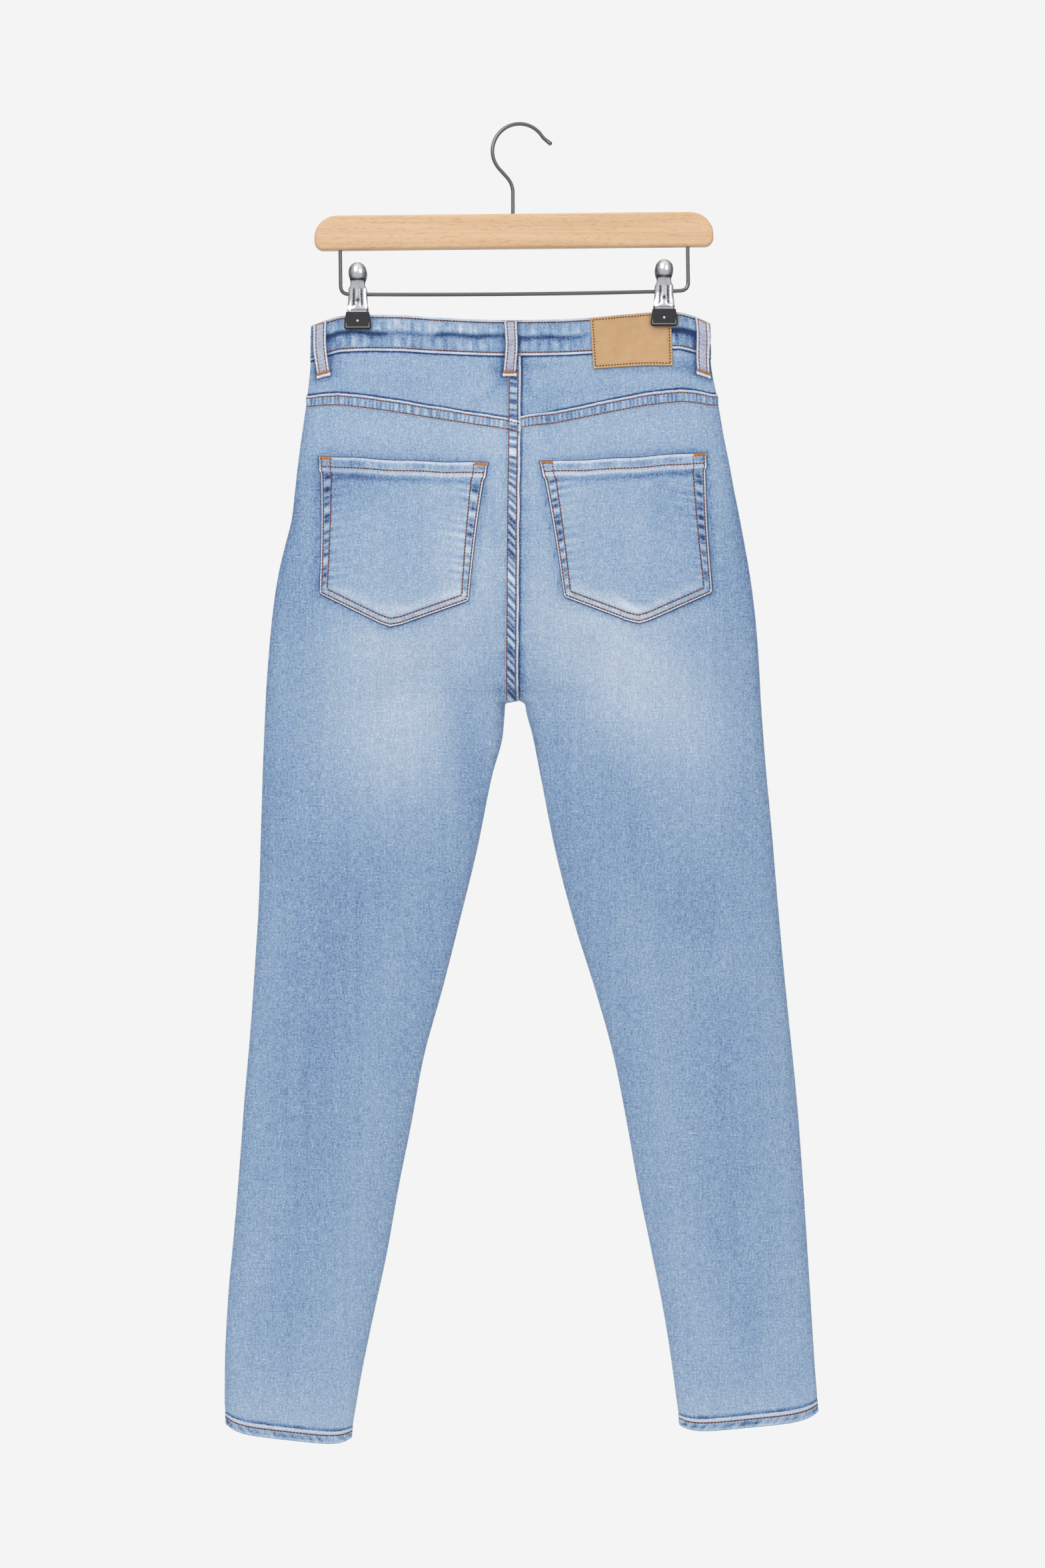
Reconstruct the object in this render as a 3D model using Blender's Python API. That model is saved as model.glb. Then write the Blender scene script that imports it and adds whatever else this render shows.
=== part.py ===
"""Skinny five-pocket jeans, hung by the waistband from a wooden hanger with two clips.

The frame is metres, +Z up. The origin is the inside of the hook's top, where a rail or a nail
bears on it. -Y is the side that the back of the jeans faces and +X is the wearer's right. Sizes
are written in millimetres and turned into metres where a mesh is made.

Every piece of cloth is a wall between two grids of points that come from one surface, cloth().
It gives the outer face of the single layer of denim for a face (back or front), a side (left or
right), a place across that half (0 at the side seam, 1 at the centre seam or the inseam) and a
drop below the waist. What is sewn on takes points of the same surface, moved out.
"""

import math

import bmesh
import bpy
import numpy as np

MM = 0.001
GAP = 0.3  # between pieces that meet at a seam
LAID_GAP = 0.6  # between a piece and what it lies on

# Cloth sizes
DENIM = 1.2  # one layer
BAND_HEIGHT = 33.0
BAND_GAP = 0.45  # between the waistband and the pieces under it
BAND_WALL = 2.2  # the waistband's folded layers
BAND_PROUD = 0.6  # how far the waistband stands outside the denim below it
FELL_WIDTH = 9.5  # the flat-felled seams at the yoke and the centre back
FELL_PROUD = 0.8
HEM_HEIGHT = 10.0
HEM_PROUD = 0.4
HEM_EXTRA = 0.7  # how much thicker the turned hem is on its inside
LOOP_WIDTH = 11.2
LOOP_WALL = 1.6
LOOP_BOW = 1.4
POCKET_HEM = 13.0
POCKET_PROUD = 0.5
PATCH_WALL = 1.2
FLY_WIDTH = 36.0
FLY_WALL = 1.0
FACING_WALL = 1.0
BUTTON_RADIUS = 8.5
WAIST_Z = -173.0  # the waist's nominal top edge, below the origin
COLUMNS = 12  # quads across half of a face
ROW_STEP = 31.0  # the most between two rows of a leg
SEAT_FIRST = 133.0  # the drop of the back panel's first level row
CROTCH_ROWS = (338.0, 372.0)  # the drops between which every row of the table is used
# A leg panel is cut in one, but it is built as three solids, so that each one's collision pieces
# follow its curve: the end of a solid's name, and the drop where it starts.
LEG_LENGTHS = {"": 0.0, "_knee": 385.0, "_calf": 695.0}
ROUNDNESS = 2.4  # exponent of the flattened tubes: 2 is an ellipse, more is flatter
UNDERLAP = 34.0  # how far the right end of the waistband runs on under the left one
OVERLAP = 7.0  # how far the left end runs past the centre front

# Hanger sizes
WIRE_RADIUS = 1.7
HOOK_RADIUS = 24.3  # to the middle of the wire
HOOK_TIP_RADIUS = 2.4
SHAFT_X = -5.9
BAR_LENGTH = 359.0
BAR_HEIGHT = 31.2
BAR_THICKNESS = 12.0
BAR_TOP_Z = -79.6
BAR_CENTRE_X = -4.9
BORE_DEPTH = 9.0
BORE_CLEARANCE = 0.35
BAR_TILT = math.radians(0.6)  # the wearer's right end hangs a little higher
RAIL_DROP = 39.3  # from the bar's underside to the middle of the clips' wire
RAIL_HALF = 156.4
RAIL_BEND = 8.0
RAIL_SAG = 1.4
CLIP_X = {"left": -145.5, "right": 130.0}
CLIP_PLATEAU = 15.0  # half the width that a clip presses flat
CLIP_REACH = 60.0  # how far to each side the pinch is felt
CLIP_STATIONS = (-15.0, 15.0, 25.0, 35.0, 47.0)  # extra points of the band, from a clip inwards
CLIP_FADE = (10.0, 65.0)  # the drops between which the pinch dies away
PINCHED = 1.75  # half the depth of the denim under a clip
PAD_SIZE = (25.0, 4.5, 15.7)
PAD_TAPER = 0.18  # how much narrower a pad is at its top
PAD_TOP = -16.3  # from the wire
ARM_WALL = 1.0

# Outlines of the two halves. drop is that of the outer edge below the waist; fall is how much
# lower the same section meets the inner edge, which is the centre seam down to the crotch and
# the inseam below it.
LEG_COLUMNS = ("drop", "outer_x", "inner_x", "fall")
LEG = {
    "left": (
        (-6, -187.0, 0.0, 0.0),
        (33, -188.0, 0.0, 0.0),
        (73, -191.8, 0.0, 0.0),
        (103, -195.8, 0.0, 0.0),
        (133, -199.6, 0.0, 0.0),
        (157, -202.2, 0.0, 0.0),
        (181, -205.0, 0.0, 0.0),
        (205, -211.0, 0.0, 0.0),
        (229, -216.6, 0.0, 0.0),
        (253, -220.6, 0.0, 0.0),
        (277, -223.4, 0.0, 0.0),
        (301, -225.6, 0.0, 0.0),
        (325, -227.4, 0.0, 0.0),
        (338, -228.2, 0.0, 0.0),
        (344, -228.5, 0.0, 0.0),
        (346.5, -228.6, -6.5, -0.7),
        (349, -228.7, -12.6, -1.8),
        (356, -229.0, -13.4, 0.0),
        (372, -229.7, -15.0, 3.0),
        (403, -231.0, -24.5, 8.0),
        (463, -232.8, -37.9, 14.0),
        (523, -234.6, -53.7, 19.0),
        (583, -238.2, -69.7, 22.0),
        (643, -242.4, -86.3, 22.5),
        (703, -247.6, -97.4, 22.0),
        (763, -252.0, -109.0, 20.0),
        (823, -257.0, -119.4, 18.5),
        (883, -262.4, -132.0, 17.0),
        (943, -265.2, -143.7, 15.0),
        (975, -265.4, -148.6, 13.8),
        (1002, -264.0, -151.5, 12.5),
    ),
    "right": (
        (-6, 171.0, 0.0, 0.0),
        (33, 172.0, 0.0, 0.0),
        (73, 178.6, 0.0, 0.0),
        (103, 183.4, 0.0, 0.0),
        (133, 189.2, 0.0, 0.0),
        (157, 193.6, 0.0, 0.0),
        (181, 198.4, 0.0, 0.0),
        (205, 202.8, 0.0, 0.0),
        (229, 207.0, 0.0, 0.0),
        (253, 210.4, 0.0, 0.0),
        (277, 213.0, 0.0, 0.0),
        (301, 214.9, 0.0, 0.0),
        (325, 216.3, 0.0, 0.0),
        (338, 216.9, 0.0, 0.0),
        (344, 217.2, 0.0, 0.0),
        (346.5, 217.4, 2.4, -0.7),
        (349, 217.6, 4.6, -1.8),
        (356, 218.0, 6.4, 0.0),
        (372, 219.2, 11.6, 3.0),
        (403, 221.6, 18.8, 8.0),
        (463, 227.2, 31.8, 14.0),
        (523, 232.2, 48.6, 19.0),
        (583, 237.6, 68.3, 22.0),
        (643, 243.6, 85.0, 22.5),
        (703, 249.6, 96.7, 21.5),
        (763, 254.2, 107.0, 19.5),
        (823, 258.2, 119.0, 17.5),
        (883, 262.0, 130.6, 16.0),
        (943, 265.8, 139.3, 14.0),
        (972, 267.8, 142.6, 13.0),
        (991, 268.4, 144.2, 12.0),
    ),
}

# Half the depth of the hung jeans on each face, and the share of a whole flattened tube that one
# half covers: 0.5 at the hips, where the two halves make one tube, and 1 down the leg.
DEPTH_COLUMNS = ("drop", "back", "front", "share")
DEPTH = (
    (-6, 8.0, 8.0, 0.5),
    (33, 9.0, 9.0, 0.5),
    (90, 15.0, 12.5, 0.5),
    (180, 22.0, 16.0, 0.5),
    (250, 24.0, 17.0, 0.55),
    (300, 22.0, 16.5, 0.68),
    (330, 19.5, 16.0, 0.86),
    (344, 18.0, 15.5, 1.0),
    (450, 17.0, 15.0, 1.0),
    (650, 14.0, 13.0, 1.0),
    (850, 12.0, 11.5, 1.0),
    (1010, 11.0, 10.5, 1.0),
)

# How far the waist's top edge dips below its nominal line, held up by the two clips.
TOP_COLUMNS = ("x", "dip")
TOP_LINE = (
    (-188, 7.2),
    (-176, 2.8),
    (-158, -2.0),
    (-133, -2.8),
    (-108, -2.2),
    (-80, 0.0),
    (-14, 2.6),
    (30, 2.2),
    (64, 0.4),
    (96, -3.0),
    (118, -4.8),
    (143, -5.0),
    (155, -2.2),
    (172, 4.8),
)
TOP_FADE = 150.0  # the drop at which that dip has died away

# The largest folds, as soft ridges (rise above 0) or troughs on one face. lean is the angle from
# the vertical, in degrees, and length and width are half lengths.
FOLD_COLUMNS = ("face", "x", "drop", "lean", "length", "width", "rise")
FOLDS = (
    ("back", -74, 316, -58, 62, 15, -2.4),
    ("back", 80, 322, 55, 66, 15, -2.2),
    ("back", -34, 392, 8, 52, 13, -2.6),
    ("back", 36, 408, -10, 58, 14, -2.0),
    ("back", -196, 196, 64, 30, 14, -2.2),
    ("back", -150, 470, 74, 60, 17, 1.4),
    ("back", -168, 655, 82, 58, 17, -1.6),
    ("back", 172, 640, -80, 60, 18, -1.4),
    ("back", -205, 872, 76, 42, 16, 1.2),
    ("back", 204, 905, -70, 44, 16, -1.2),
    ("front", -62, 262, -66, 66, 14, -2.0),
    ("front", 66, 268, 66, 66, 14, -2.0),
    ("front", -58, 300, -50, 54, 13, -1.8),
    ("front", 62, 306, 50, 54, 13, -1.8),
    ("front", -165, 668, -84, 58, 17, -1.8),
    ("front", 170, 662, 84, 58, 17, -1.8),
    ("front", 150, 470, -60, 60, 17, 1.4),
    ("front", -205, 890, -72, 44, 16, 1.2),
)

# The seam under each yoke: its drop at the side, how much lower it is at the centre, and how
# late across the half it falls.
YOKE_SEAM = {"left": (65.6, 26.0, 1.05), "right": (66.2, 25.4, 1.6)}

# Back pockets: the corners as (x, drop), from the top outer corner round by the point.
POCKET_COLUMNS = ("outer_top", "inner_top", "inner_foot", "point", "outer_foot")
POCKETS = {
    "left": ((-180.6, 124.4), (-27.6, 131.4), (-43.6, 256.0), (-115.8, 280.8), (-181.0, 249.4)),
    "right": ((168.2, 121.4), (17.4, 130.2), (37.8, 252.4), (107.2, 277.8), (174.6, 248.4)),
}

# The patch on the wearer's right: x and drop of its corners.
PATCH_LEFT, PATCH_RIGHT = 64.5, 137.5
PATCH_TOP, PATCH_FOOT = 0.6, 45.0

# Belt loops: x of the middle at the top and at the foot.
LOOP_COLUMNS = ("name", "face", "top_x", "foot_x")
LOOPS = (
    ("belt_loop_back_left", "back", -180.2, -176.4),
    ("belt_loop_back_centre", "back", -7.4, -8.2),
    ("belt_loop_back_right", "back", 163.6, 165.4),
    ("belt_loop_front_left", "front", -96.0, -97.0),
    ("belt_loop_front_right", "front", 82.0, 83.0),
)
LOOP_TOP, LOOP_FOOT = 1.2, 52.5

# The curved opening of each front pocket, from the waistband round to the side seam.
SCOOP_WIDTH, SCOOP_DEPTH, SCOOP_ROUNDNESS = 98.0, 78.0, 2.2
FACING_MARGIN = 9.0  # how far the facing runs on under the front panel
FACING_SUNK = 1.3  # how much further in it lies at the foot of the opening

# Fly: how far it reaches down, and where the curve at its foot starts.
FLY_FOOT, FLY_CURVE = 172.0, 128.0

# One arm of a clip, seen from the middle plane outwards: height above the wire, distance of its
# outer face from the middle plane, half width, and how far its middle bulges beyond its edges.
ARM_COLUMNS = ("height", "away", "half_width", "bulge")
ARM = (
    (27.6, 9.4, 2.2, 0.6),
    (26.0, 10.4, 5.0, 1.8),
    (22.6, 11.4, 7.4, 3.0),
    (19.0, 11.8, 8.0, 3.4),
    (15.0, 10.8, 7.6, 2.8),
    (11.4, 8.9, 6.3, 1.4),
    (8.0, 7.4, 6.4, 1.2),
    (4.0, 6.4, 8.2, 2.0),
    (-3.0, 6.2, 8.4, 2.2),
    (-10.0, 6.0, 9.0, 1.8),
    (-14.0, 5.7, 9.4, 0.8),
    (-16.0, 5.4, 9.0, 0.0),
    (-29.0, 5.4, 9.0, 0.0),
)

MATERIALS = {
    "denim": ((0.36, 0.53, 0.74), 0.85, 0.0),
    "loop_denim": ((0.50, 0.62, 0.77), 0.85, 0.0),
    "patch_leather": ((0.55, 0.35, 0.13), 0.6, 0.0),
    "beech": ((0.83, 0.60, 0.36), 0.45, 0.0),
    "chrome": ((0.78, 0.78, 0.80), 0.12, 1.0),
    "clip_rubber": ((0.04, 0.04, 0.045), 0.5, 0.0),
    "button_metal": ((0.60, 0.42, 0.28), 0.35, 1.0),
}


def column(table, columns, name):
    """One named column of a table, as numbers."""
    return np.array([row[columns.index(name)] for row in table], float)


def smooth(value, start, end):
    """0 before start, 1 after end, and an even curve between them."""
    share = np.clip((np.asarray(value, float) - start) / (end - start), 0.0, 1.0)
    return share * share * (3.0 - 2.0 * share)


def curve_through(xs, ys, at):
    """A smooth curve through the points of a table that never overshoots them."""
    widths, slopes = np.diff(xs), np.diff(ys) / np.diff(xs)
    tangents = np.zeros(len(xs))
    tangents[0], tangents[-1] = slopes[0], slopes[-1]
    same = slopes[:-1] * slopes[1:] > 0
    before, after = 2 * widths[1:] + widths[:-1], widths[1:] + 2 * widths[:-1]
    with np.errstate(divide="ignore", invalid="ignore"):
        harmonic = (before + after) / (before / slopes[:-1] + after / slopes[1:])
    tangents[1:-1] = np.where(same, harmonic, 0.0)
    at = np.clip(np.asarray(at, float), xs[0], xs[-1])
    i = np.clip(np.searchsorted(xs, at, side="right") - 1, 0, len(xs) - 2)
    t = (at - xs[i]) / widths[i]
    return (
        (1 + 2 * t) * (1 - t) ** 2 * ys[i]
        + t * (1 - t) ** 2 * widths[i] * tangents[i]
        + t * t * (3 - 2 * t) * ys[i + 1]
        - t * t * (1 - t) * widths[i] * tangents[i + 1]
    )


def read(table, columns, name, at):
    """A column of a table at any value of the table's first column."""
    return curve_through(column(table, columns, columns[0]), column(table, columns, name), at)


def edges(side, drop):
    """x of the outer edge, x of the inner edge, and the fall, of the section at this drop."""
    table = LEG[side]
    seam = -GAP / 2 if side == "left" else GAP / 2
    return (
        read(table, LEG_COLUMNS, "outer_x", drop),
        read(table, LEG_COLUMNS, "inner_x", drop) + seam,
        read(table, LEG_COLUMNS, "fall", drop),
    )


def hem_drop(side):
    return LEG[side][-1][0]


def tube_depth(share):
    """Depth of a flattened tube at a share of the way across it, from 0 at an edge to 1."""
    away = np.abs(2.0 * np.clip(share, 0.0, 1.0) - 1.0)
    return (1.0 - away**ROUNDNESS) ** (1.0 / ROUNDNESS)


def pinch(x, drop):
    """1 where a clip presses the cloth flat, falling to 0 away from it."""
    felt = sum(1.0 - smooth(np.abs(x - at), CLIP_PLATEAU, CLIP_REACH) for at in CLIP_X.values())
    return np.clip(felt, 0.0, 1.0) * (1.0 - smooth(drop, *CLIP_FADE))


def fold_rise(face, x, drop):
    """How far the largest folds lift the cloth at this place."""
    total = np.zeros(np.shape(x))
    for fold_face, at_x, at_drop, lean, length, width, rise in FOLDS:
        if fold_face != face:
            continue
        turn = math.radians(lean)
        along = (drop - at_drop) * math.cos(turn) + (x - at_x) * math.sin(turn)
        aside = (x - at_x) * math.cos(turn) - (drop - at_drop) * math.sin(turn)
        total = total + rise * np.exp(-((along / length) ** 2) - (aside / width) ** 2)
    return total


def cloth(face, side, across, drop):
    """Points of the denim's outer face, in mm."""
    across, drop = np.broadcast_arrays(np.asarray(across, float), np.asarray(drop, float))
    outer_x, inner_x, fall = edges(side, drop)
    x = outer_x + (inner_x - outer_x) * across
    below = drop + fall * across
    profile = tube_depth(across * read(DEPTH, DEPTH_COLUMNS, "share", drop))
    half = (read(DEPTH, DEPTH_COLUMNS, face, drop) + fold_rise(face, x, below)) * profile
    half = half + np.minimum(PINCHED - half, 0.0) * pinch(x, drop)
    corner = np.abs(2.0 * across - 1.0) ** 6 * smooth(drop, hem_drop(side) - 40.0, hem_drop(side))
    dip = read(TOP_LINE, TOP_COLUMNS, "dip", x) * (1.0 - smooth(drop, 0.0, TOP_FADE))
    outward = -1.0 if face == "back" else 1.0
    y = outward * (half + GAP / 2)
    z = WAIST_Z - below - dip + 7.0 * corner
    return np.stack([x, y, z], axis=-1)


def cloth_moved(face, side, across, drop, out):
    """Points of the outer face moved out along its normal by out mm, or in where it is below 0."""
    across, drop, out = np.broadcast_arrays(
        np.asarray(across, float), np.asarray(drop, float), np.asarray(out, float)
    )
    step, step_down = 1e-4, 0.2
    sideways = cloth(face, side, np.clip(across + step, 0, 1), drop) - cloth(
        face, side, np.clip(across - step, 0, 1), drop
    )
    down = cloth(face, side, across, drop + step_down) - cloth(face, side, across, drop - step_down)
    normal = np.cross(sideways, down)
    normal /= np.linalg.norm(normal, axis=-1, keepdims=True)
    if (face == "back") == (side == "left"):
        normal = -normal
    return cloth(face, side, across, drop) + normal * out[..., None]


def share_at(side, x, drop):
    """Where across its half a point at x lies. It serves down to the crotch, where fall is 0."""
    outer_x, inner_x, _ = edges(side, drop)
    return np.clip((x - outer_x) / (inner_x - outer_x), 0.0, 1.0)


def hip_moved(face, x, drop, out):
    """As cloth_moved(), but placed by x, on either side of the centre."""
    x, drop, out = np.broadcast_arrays(
        np.asarray(x, float), np.asarray(drop, float), np.asarray(out, float)
    )
    left = cloth_moved(face, "left", share_at("left", x, drop), drop, out)
    right = cloth_moved(face, "right", share_at("right", x, drop), drop, out)
    return np.where((x < 0)[..., None], left, right)


def clear_scene():
    for thing in list(bpy.data.objects):
        bpy.data.objects.remove(thing)


def material(name):
    made = bpy.data.materials.get(name)
    if made:
        return made
    colour, roughness, metallic = MATERIALS[name]
    made = bpy.data.materials.new(name)
    made.use_nodes = True
    shader = made.node_tree.nodes["Principled BSDF"]
    shader.inputs["Base Color"].default_value = (*colour, 1.0)
    shader.inputs["Roughness"].default_value = roughness
    shader.inputs["Metallic"].default_value = metallic
    return made


def add_object(name, bm, material_name, sharp=40.0):
    """Makes a node of a bmesh whose points are in metres."""
    bmesh.ops.recalc_face_normals(bm, faces=bm.faces)
    mesh = bpy.data.meshes.new(name)
    bm.to_mesh(mesh)
    bm.free()
    mesh.shade_smooth()
    mesh.set_sharp_from_angle(angle=math.radians(sharp))
    mesh.materials.append(material(material_name))
    made = bpy.data.objects.new(name, mesh)
    bpy.context.scene.collection.objects.link(made)
    return made


def grid_faces(bm, points):
    """A sheet of quads over a grid of points in mm, as its grid of vertices."""
    verts = [[bm.verts.new(p) for p in row] for row in np.asarray(points) * MM]
    for upper, lower in zip(verts, verts[1:]):
        for i in range(len(upper) - 1):
            bm.faces.new((upper[i], upper[i + 1], lower[i + 1], lower[i]))
    return verts


def rim(verts):
    """The vertices round a grid, in order."""
    top, foot = verts[0], verts[-1][::-1]
    right = [row[-1] for row in verts[1:-1]]
    left = [row[0] for row in verts[1:-1]][::-1]
    return top + right + foot + left


def wall(name, outer, inner, material_name):
    """The closed wall between two grids of points of the same shape."""
    bm = bmesh.new()
    first, second = rim(grid_faces(bm, outer)), rim(grid_faces(bm, inner))
    for i, start in enumerate(first):
        j = (i + 1) % len(first)
        bm.faces.new((start, first[j], second[j], second[i]))
    return add_object(name, bm, material_name)


def columns_across(count=COLUMNS):
    """Places across a half, closer together towards both edges, where the tube turns."""
    near = np.linspace(0.0, 1.0, count // 2 + 1) ** 2.1 / 2
    return np.concatenate([near, 1.0 - near[-2::-1]])


def centre_columns(side, drop):
    """As columns_across(), with its last places on the step of the centre back's felled seam."""
    places = columns_across()
    outer_x, inner_x, _ = edges(side, drop)
    band = FELL_WIDTH / abs(inner_x - outer_x)
    places[-4:] = (1 - 1.5 * band, 1 - 1.06 * band, 1 - band, 1.0)
    return places


def yoke_columns(side):
    """The places that the waistband, the yoke and the top of the back panel share."""
    return centre_columns(side, YOKE_SEAM[side][0])


def fell_rise(side, across, drop):
    """How far the felled seam down the centre back stands proud. The left half lies on top."""
    if side == "right":
        return np.zeros(np.shape(across))
    outer_x, inner_x, _ = edges(side, drop)
    from_seam = (1.0 - across) * np.abs(inner_x - outer_x)
    fades = 1.0 - smooth(drop, 330.0, 343.0)
    return FELL_PROUD * fades * (from_seam <= FELL_WIDTH * 1.01)


def yoke_seam(side, across):
    at_side, lower, late = YOKE_SEAM[side]
    return at_side + lower * np.asarray(across, float) ** late


def leg_rows(side, first):
    """Drops of a leg panel's rows from the first one down: the table's own round the crotch,
    even steps above and below it, both sides of the gaps between its solids, and the hem's step."""
    crotch = [row[0] for row in LEG[side] if CROTCH_ROWS[0] <= row[0] <= CROTCH_ROWS[1]]
    hem = hem_drop(side) - HEM_HEIGHT
    rows = {hem_drop(side), hem + GAP, *crotch}
    starts, ends = [first, crotch[-1]], [crotch[0]]
    for cut in list(LEG_LENGTHS.values())[1:]:
        ends.append(cut - GAP / 2)
        starts.append(cut + GAP / 2)
    for start, end in zip(starts, [*ends, hem - GAP]):
        steps = math.ceil((end - start) / ROW_STEP)
        rows |= set(np.linspace(start, end, steps + 1))
    return sorted(rows)


def leg_walls(name, drops, outer, inner):
    """The solids of a leg panel, from its rows of points and the drop of each row."""
    cuts = [*LEG_LENGTHS.values(), math.inf]
    for ending, start, end in zip(LEG_LENGTHS, cuts, cuts[1:]):
        own = [i for i, drop in enumerate(drops) if start < drop < end]
        wall(name + ending, [outer[i] for i in own], [inner[i] for i in own], "denim")


def hem_out(side, drop):
    return HEM_PROUD * (drop >= hem_drop(side) - HEM_HEIGHT)


def hem_in(side, drop):
    return DENIM + HEM_EXTRA * (drop >= hem_drop(side) - HEM_HEIGHT)


def back_panel(side):
    """One back leg, from the yoke seam to the hem. Its top edge is folded over the yoke."""
    drops, outer, inner = [], [], []
    for below in (GAP / 2, FELL_WIDTH - GAP, FELL_WIDTH + GAP, 28.0):
        places = yoke_columns(side)
        drop = yoke_seam(side, places) + below
        proud = np.maximum(FELL_PROUD * (below < FELL_WIDTH), fell_rise(side, places, drop))
        drops.append(drop[0])
        outer.append(cloth_moved("back", side, places, drop, proud))
        inner.append(cloth_moved("back", side, places, drop, -DENIM))
    for drop in leg_rows(side, SEAT_FIRST):
        fade = smooth(drop, 344.0, 403.0)
        places = centre_columns(side, drop) * (1 - fade) + columns_across() * fade
        proud = fell_rise(side, places, drop) + hem_out(side, drop)
        drops.append(drop)
        outer.append(cloth_moved("back", side, places, drop, proud))
        inner.append(cloth_moved("back", side, places, drop, -hem_in(side, drop)))
    leg_walls(f"back_panel_{side}", drops, outer, inner)


def scoop_width(drop, grow=0.0):
    """Width of the front pocket's opening at this drop, from the side seam."""
    down = np.clip((drop - BAND_HEIGHT) / (SCOOP_DEPTH + grow), 0.0, 1.0)
    return (SCOOP_WIDTH + grow) * (1.0 - down**SCOOP_ROUNDNESS)


def front_columns(side, drop):
    """Places across a front panel, which starts at the pocket's opening where that is."""
    outer_x, inner_x, _ = edges(side, drop)
    start = scoop_width(drop) / abs(inner_x - outer_x)
    return start + (1.0 - start) * columns_across()


def front_panel(side):
    """One front leg, from the waistband to the hem, cut away at the pocket opening."""
    top, foot = BAND_HEIGHT + BAND_GAP, BAND_HEIGHT + SCOOP_DEPTH
    scoop_rows = foot - (foot - top) * np.linspace(1.0, 0.0, 10) ** 1.6
    drops, outer, inner = [*scoop_rows, *leg_rows(side, foot + 8.0)], [], []
    for drop in drops:
        places = front_columns(side, drop)
        outer.append(cloth_moved("front", side, places, drop, hem_out(side, drop)))
        inner.append(cloth_moved("front", side, places, drop, -hem_in(side, drop)))
    leg_walls(f"front_panel_{side}", drops, outer, inner)


def pocket_facing(side):
    """The piece of the hip that shows in a front pocket's opening, behind the front panel."""
    top, foot = BAND_HEIGHT + BAND_GAP, BAND_HEIGHT + SCOOP_DEPTH
    outer, inner = [], []
    for drop in np.linspace(top, foot + FACING_MARGIN - 2.0, 9):
        outer_x, inner_x, _ = edges(side, drop)
        reach = scoop_width(drop, FACING_MARGIN) / abs(inner_x - outer_x)
        places = reach * np.linspace(0.0, 1.0, 10) ** 1.9
        sunk = DENIM + LAID_GAP + FACING_SUNK * smooth(drop, foot - 22.0, foot - 6.0)
        outer.append(cloth_moved("front", side, places, drop, -sunk))
        inner.append(cloth_moved("front", side, places, drop, -sunk - FACING_WALL))
    return wall(f"pocket_facing_{side}", outer, inner, "denim")


def yoke(side):
    """The back yoke, between the waistband and the seam that slopes to the centre."""
    outer, inner = [], []
    for share in np.linspace(0.0, 1.0, 5):
        places = yoke_columns(side)
        top, foot = BAND_HEIGHT + BAND_GAP, yoke_seam(side, places) - GAP / 2
        drop = top + (foot - top) * share
        outer.append(cloth_moved("back", side, places, drop, fell_rise(side, places, drop)))
        inner.append(cloth_moved("back", side, places, drop, -DENIM))
    return wall(f"yoke_{side}", outer, inner, "denim")


def band_places(side):
    """x of the points that the waistband takes from the pieces under it, from the side seam in."""
    drop = BAND_HEIGHT + BAND_GAP
    outer_x, inner_x, _ = edges(side, drop)
    start = front_columns(side, drop)
    scoop = start[0] * np.linspace(0.0, 1.0, 9)[:-1] ** 1.9
    across = {"back": yoke_columns(side), "front": np.concatenate([scoop, start])}
    inward = 1.0 if side == "left" else -1.0
    pressed = CLIP_X[side] + inward * np.array(CLIP_STATIONS)
    xs = {}
    for face, places in across.items():
        x = np.concatenate([outer_x + (inner_x - outer_x) * places, pressed])
        xs[face] = x[np.argsort(-np.abs(x))]
    return xs


def band_stations():
    """(face, x, inward) round the waistband, from the end under the overlap to the one over it.
    The right end runs on under the left one, so the cloth there lies further in."""
    sunk = BAND_WALL + LAID_GAP
    left, right = (band_places(side) for side in ("left", "right"))
    stations = [("front", x, sunk) for x in np.linspace(-UNDERLAP, OVERLAP, 6)]
    stations += [("front", x, 0.0) for x in right["front"][::-1] if x > OVERLAP + 12.0]
    stations += [("back", x, 0.0) for x in right["back"]]
    stations += [("back", x, 0.0) for x in left["back"][::-1][1:]]
    stations += [("front", x, 0.0) for x in left["front"][1:]]
    return stations + [("front", OVERLAP, 0.0)]


def waistband():
    """One folded strip all round the waist, its left end lying over its right end in front."""
    outer, inner = [], []
    drops = np.array([0.0, 1.2, BAND_HEIGHT / 2, BAND_HEIGHT])
    proud = np.array([BAND_PROUD - 0.7, BAND_PROUD, BAND_PROUD, BAND_PROUD])
    thick = np.array([BAND_WALL - 1.3, BAND_WALL, BAND_WALL, BAND_WALL])
    for face, x, inward in band_stations():
        out = proud - inward
        outer.append(hip_moved(face, np.full(4, x), drops, out))
        inner.append(hip_moved(face, np.full(4, x), drops, out - thick))
    return wall("waistband", outer, inner, "denim")


def belt_loop(name, face, top_x, foot_x):
    """A strip over the waistband, fast at both ends and standing off a little between them."""
    outer, inner = [], []
    for share in np.linspace(0.0, 1.0, 9):
        middle = top_x + (foot_x - top_x) * share
        x = middle + LOOP_WIDTH * np.linspace(-0.5, 0.5, 4)
        drop = LOOP_TOP + (LOOP_FOOT - LOOP_TOP) * share
        seat = BAND_PROUD + LAID_GAP + LOOP_BOW * math.sin(math.pi * share) ** 0.7
        outer.append(hip_moved(face, x, np.full(4, drop), seat + LOOP_WALL))
        inner.append(hip_moved(face, x, np.full(4, drop), seat))
    return wall(name, outer, inner, "loop_denim")


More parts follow.
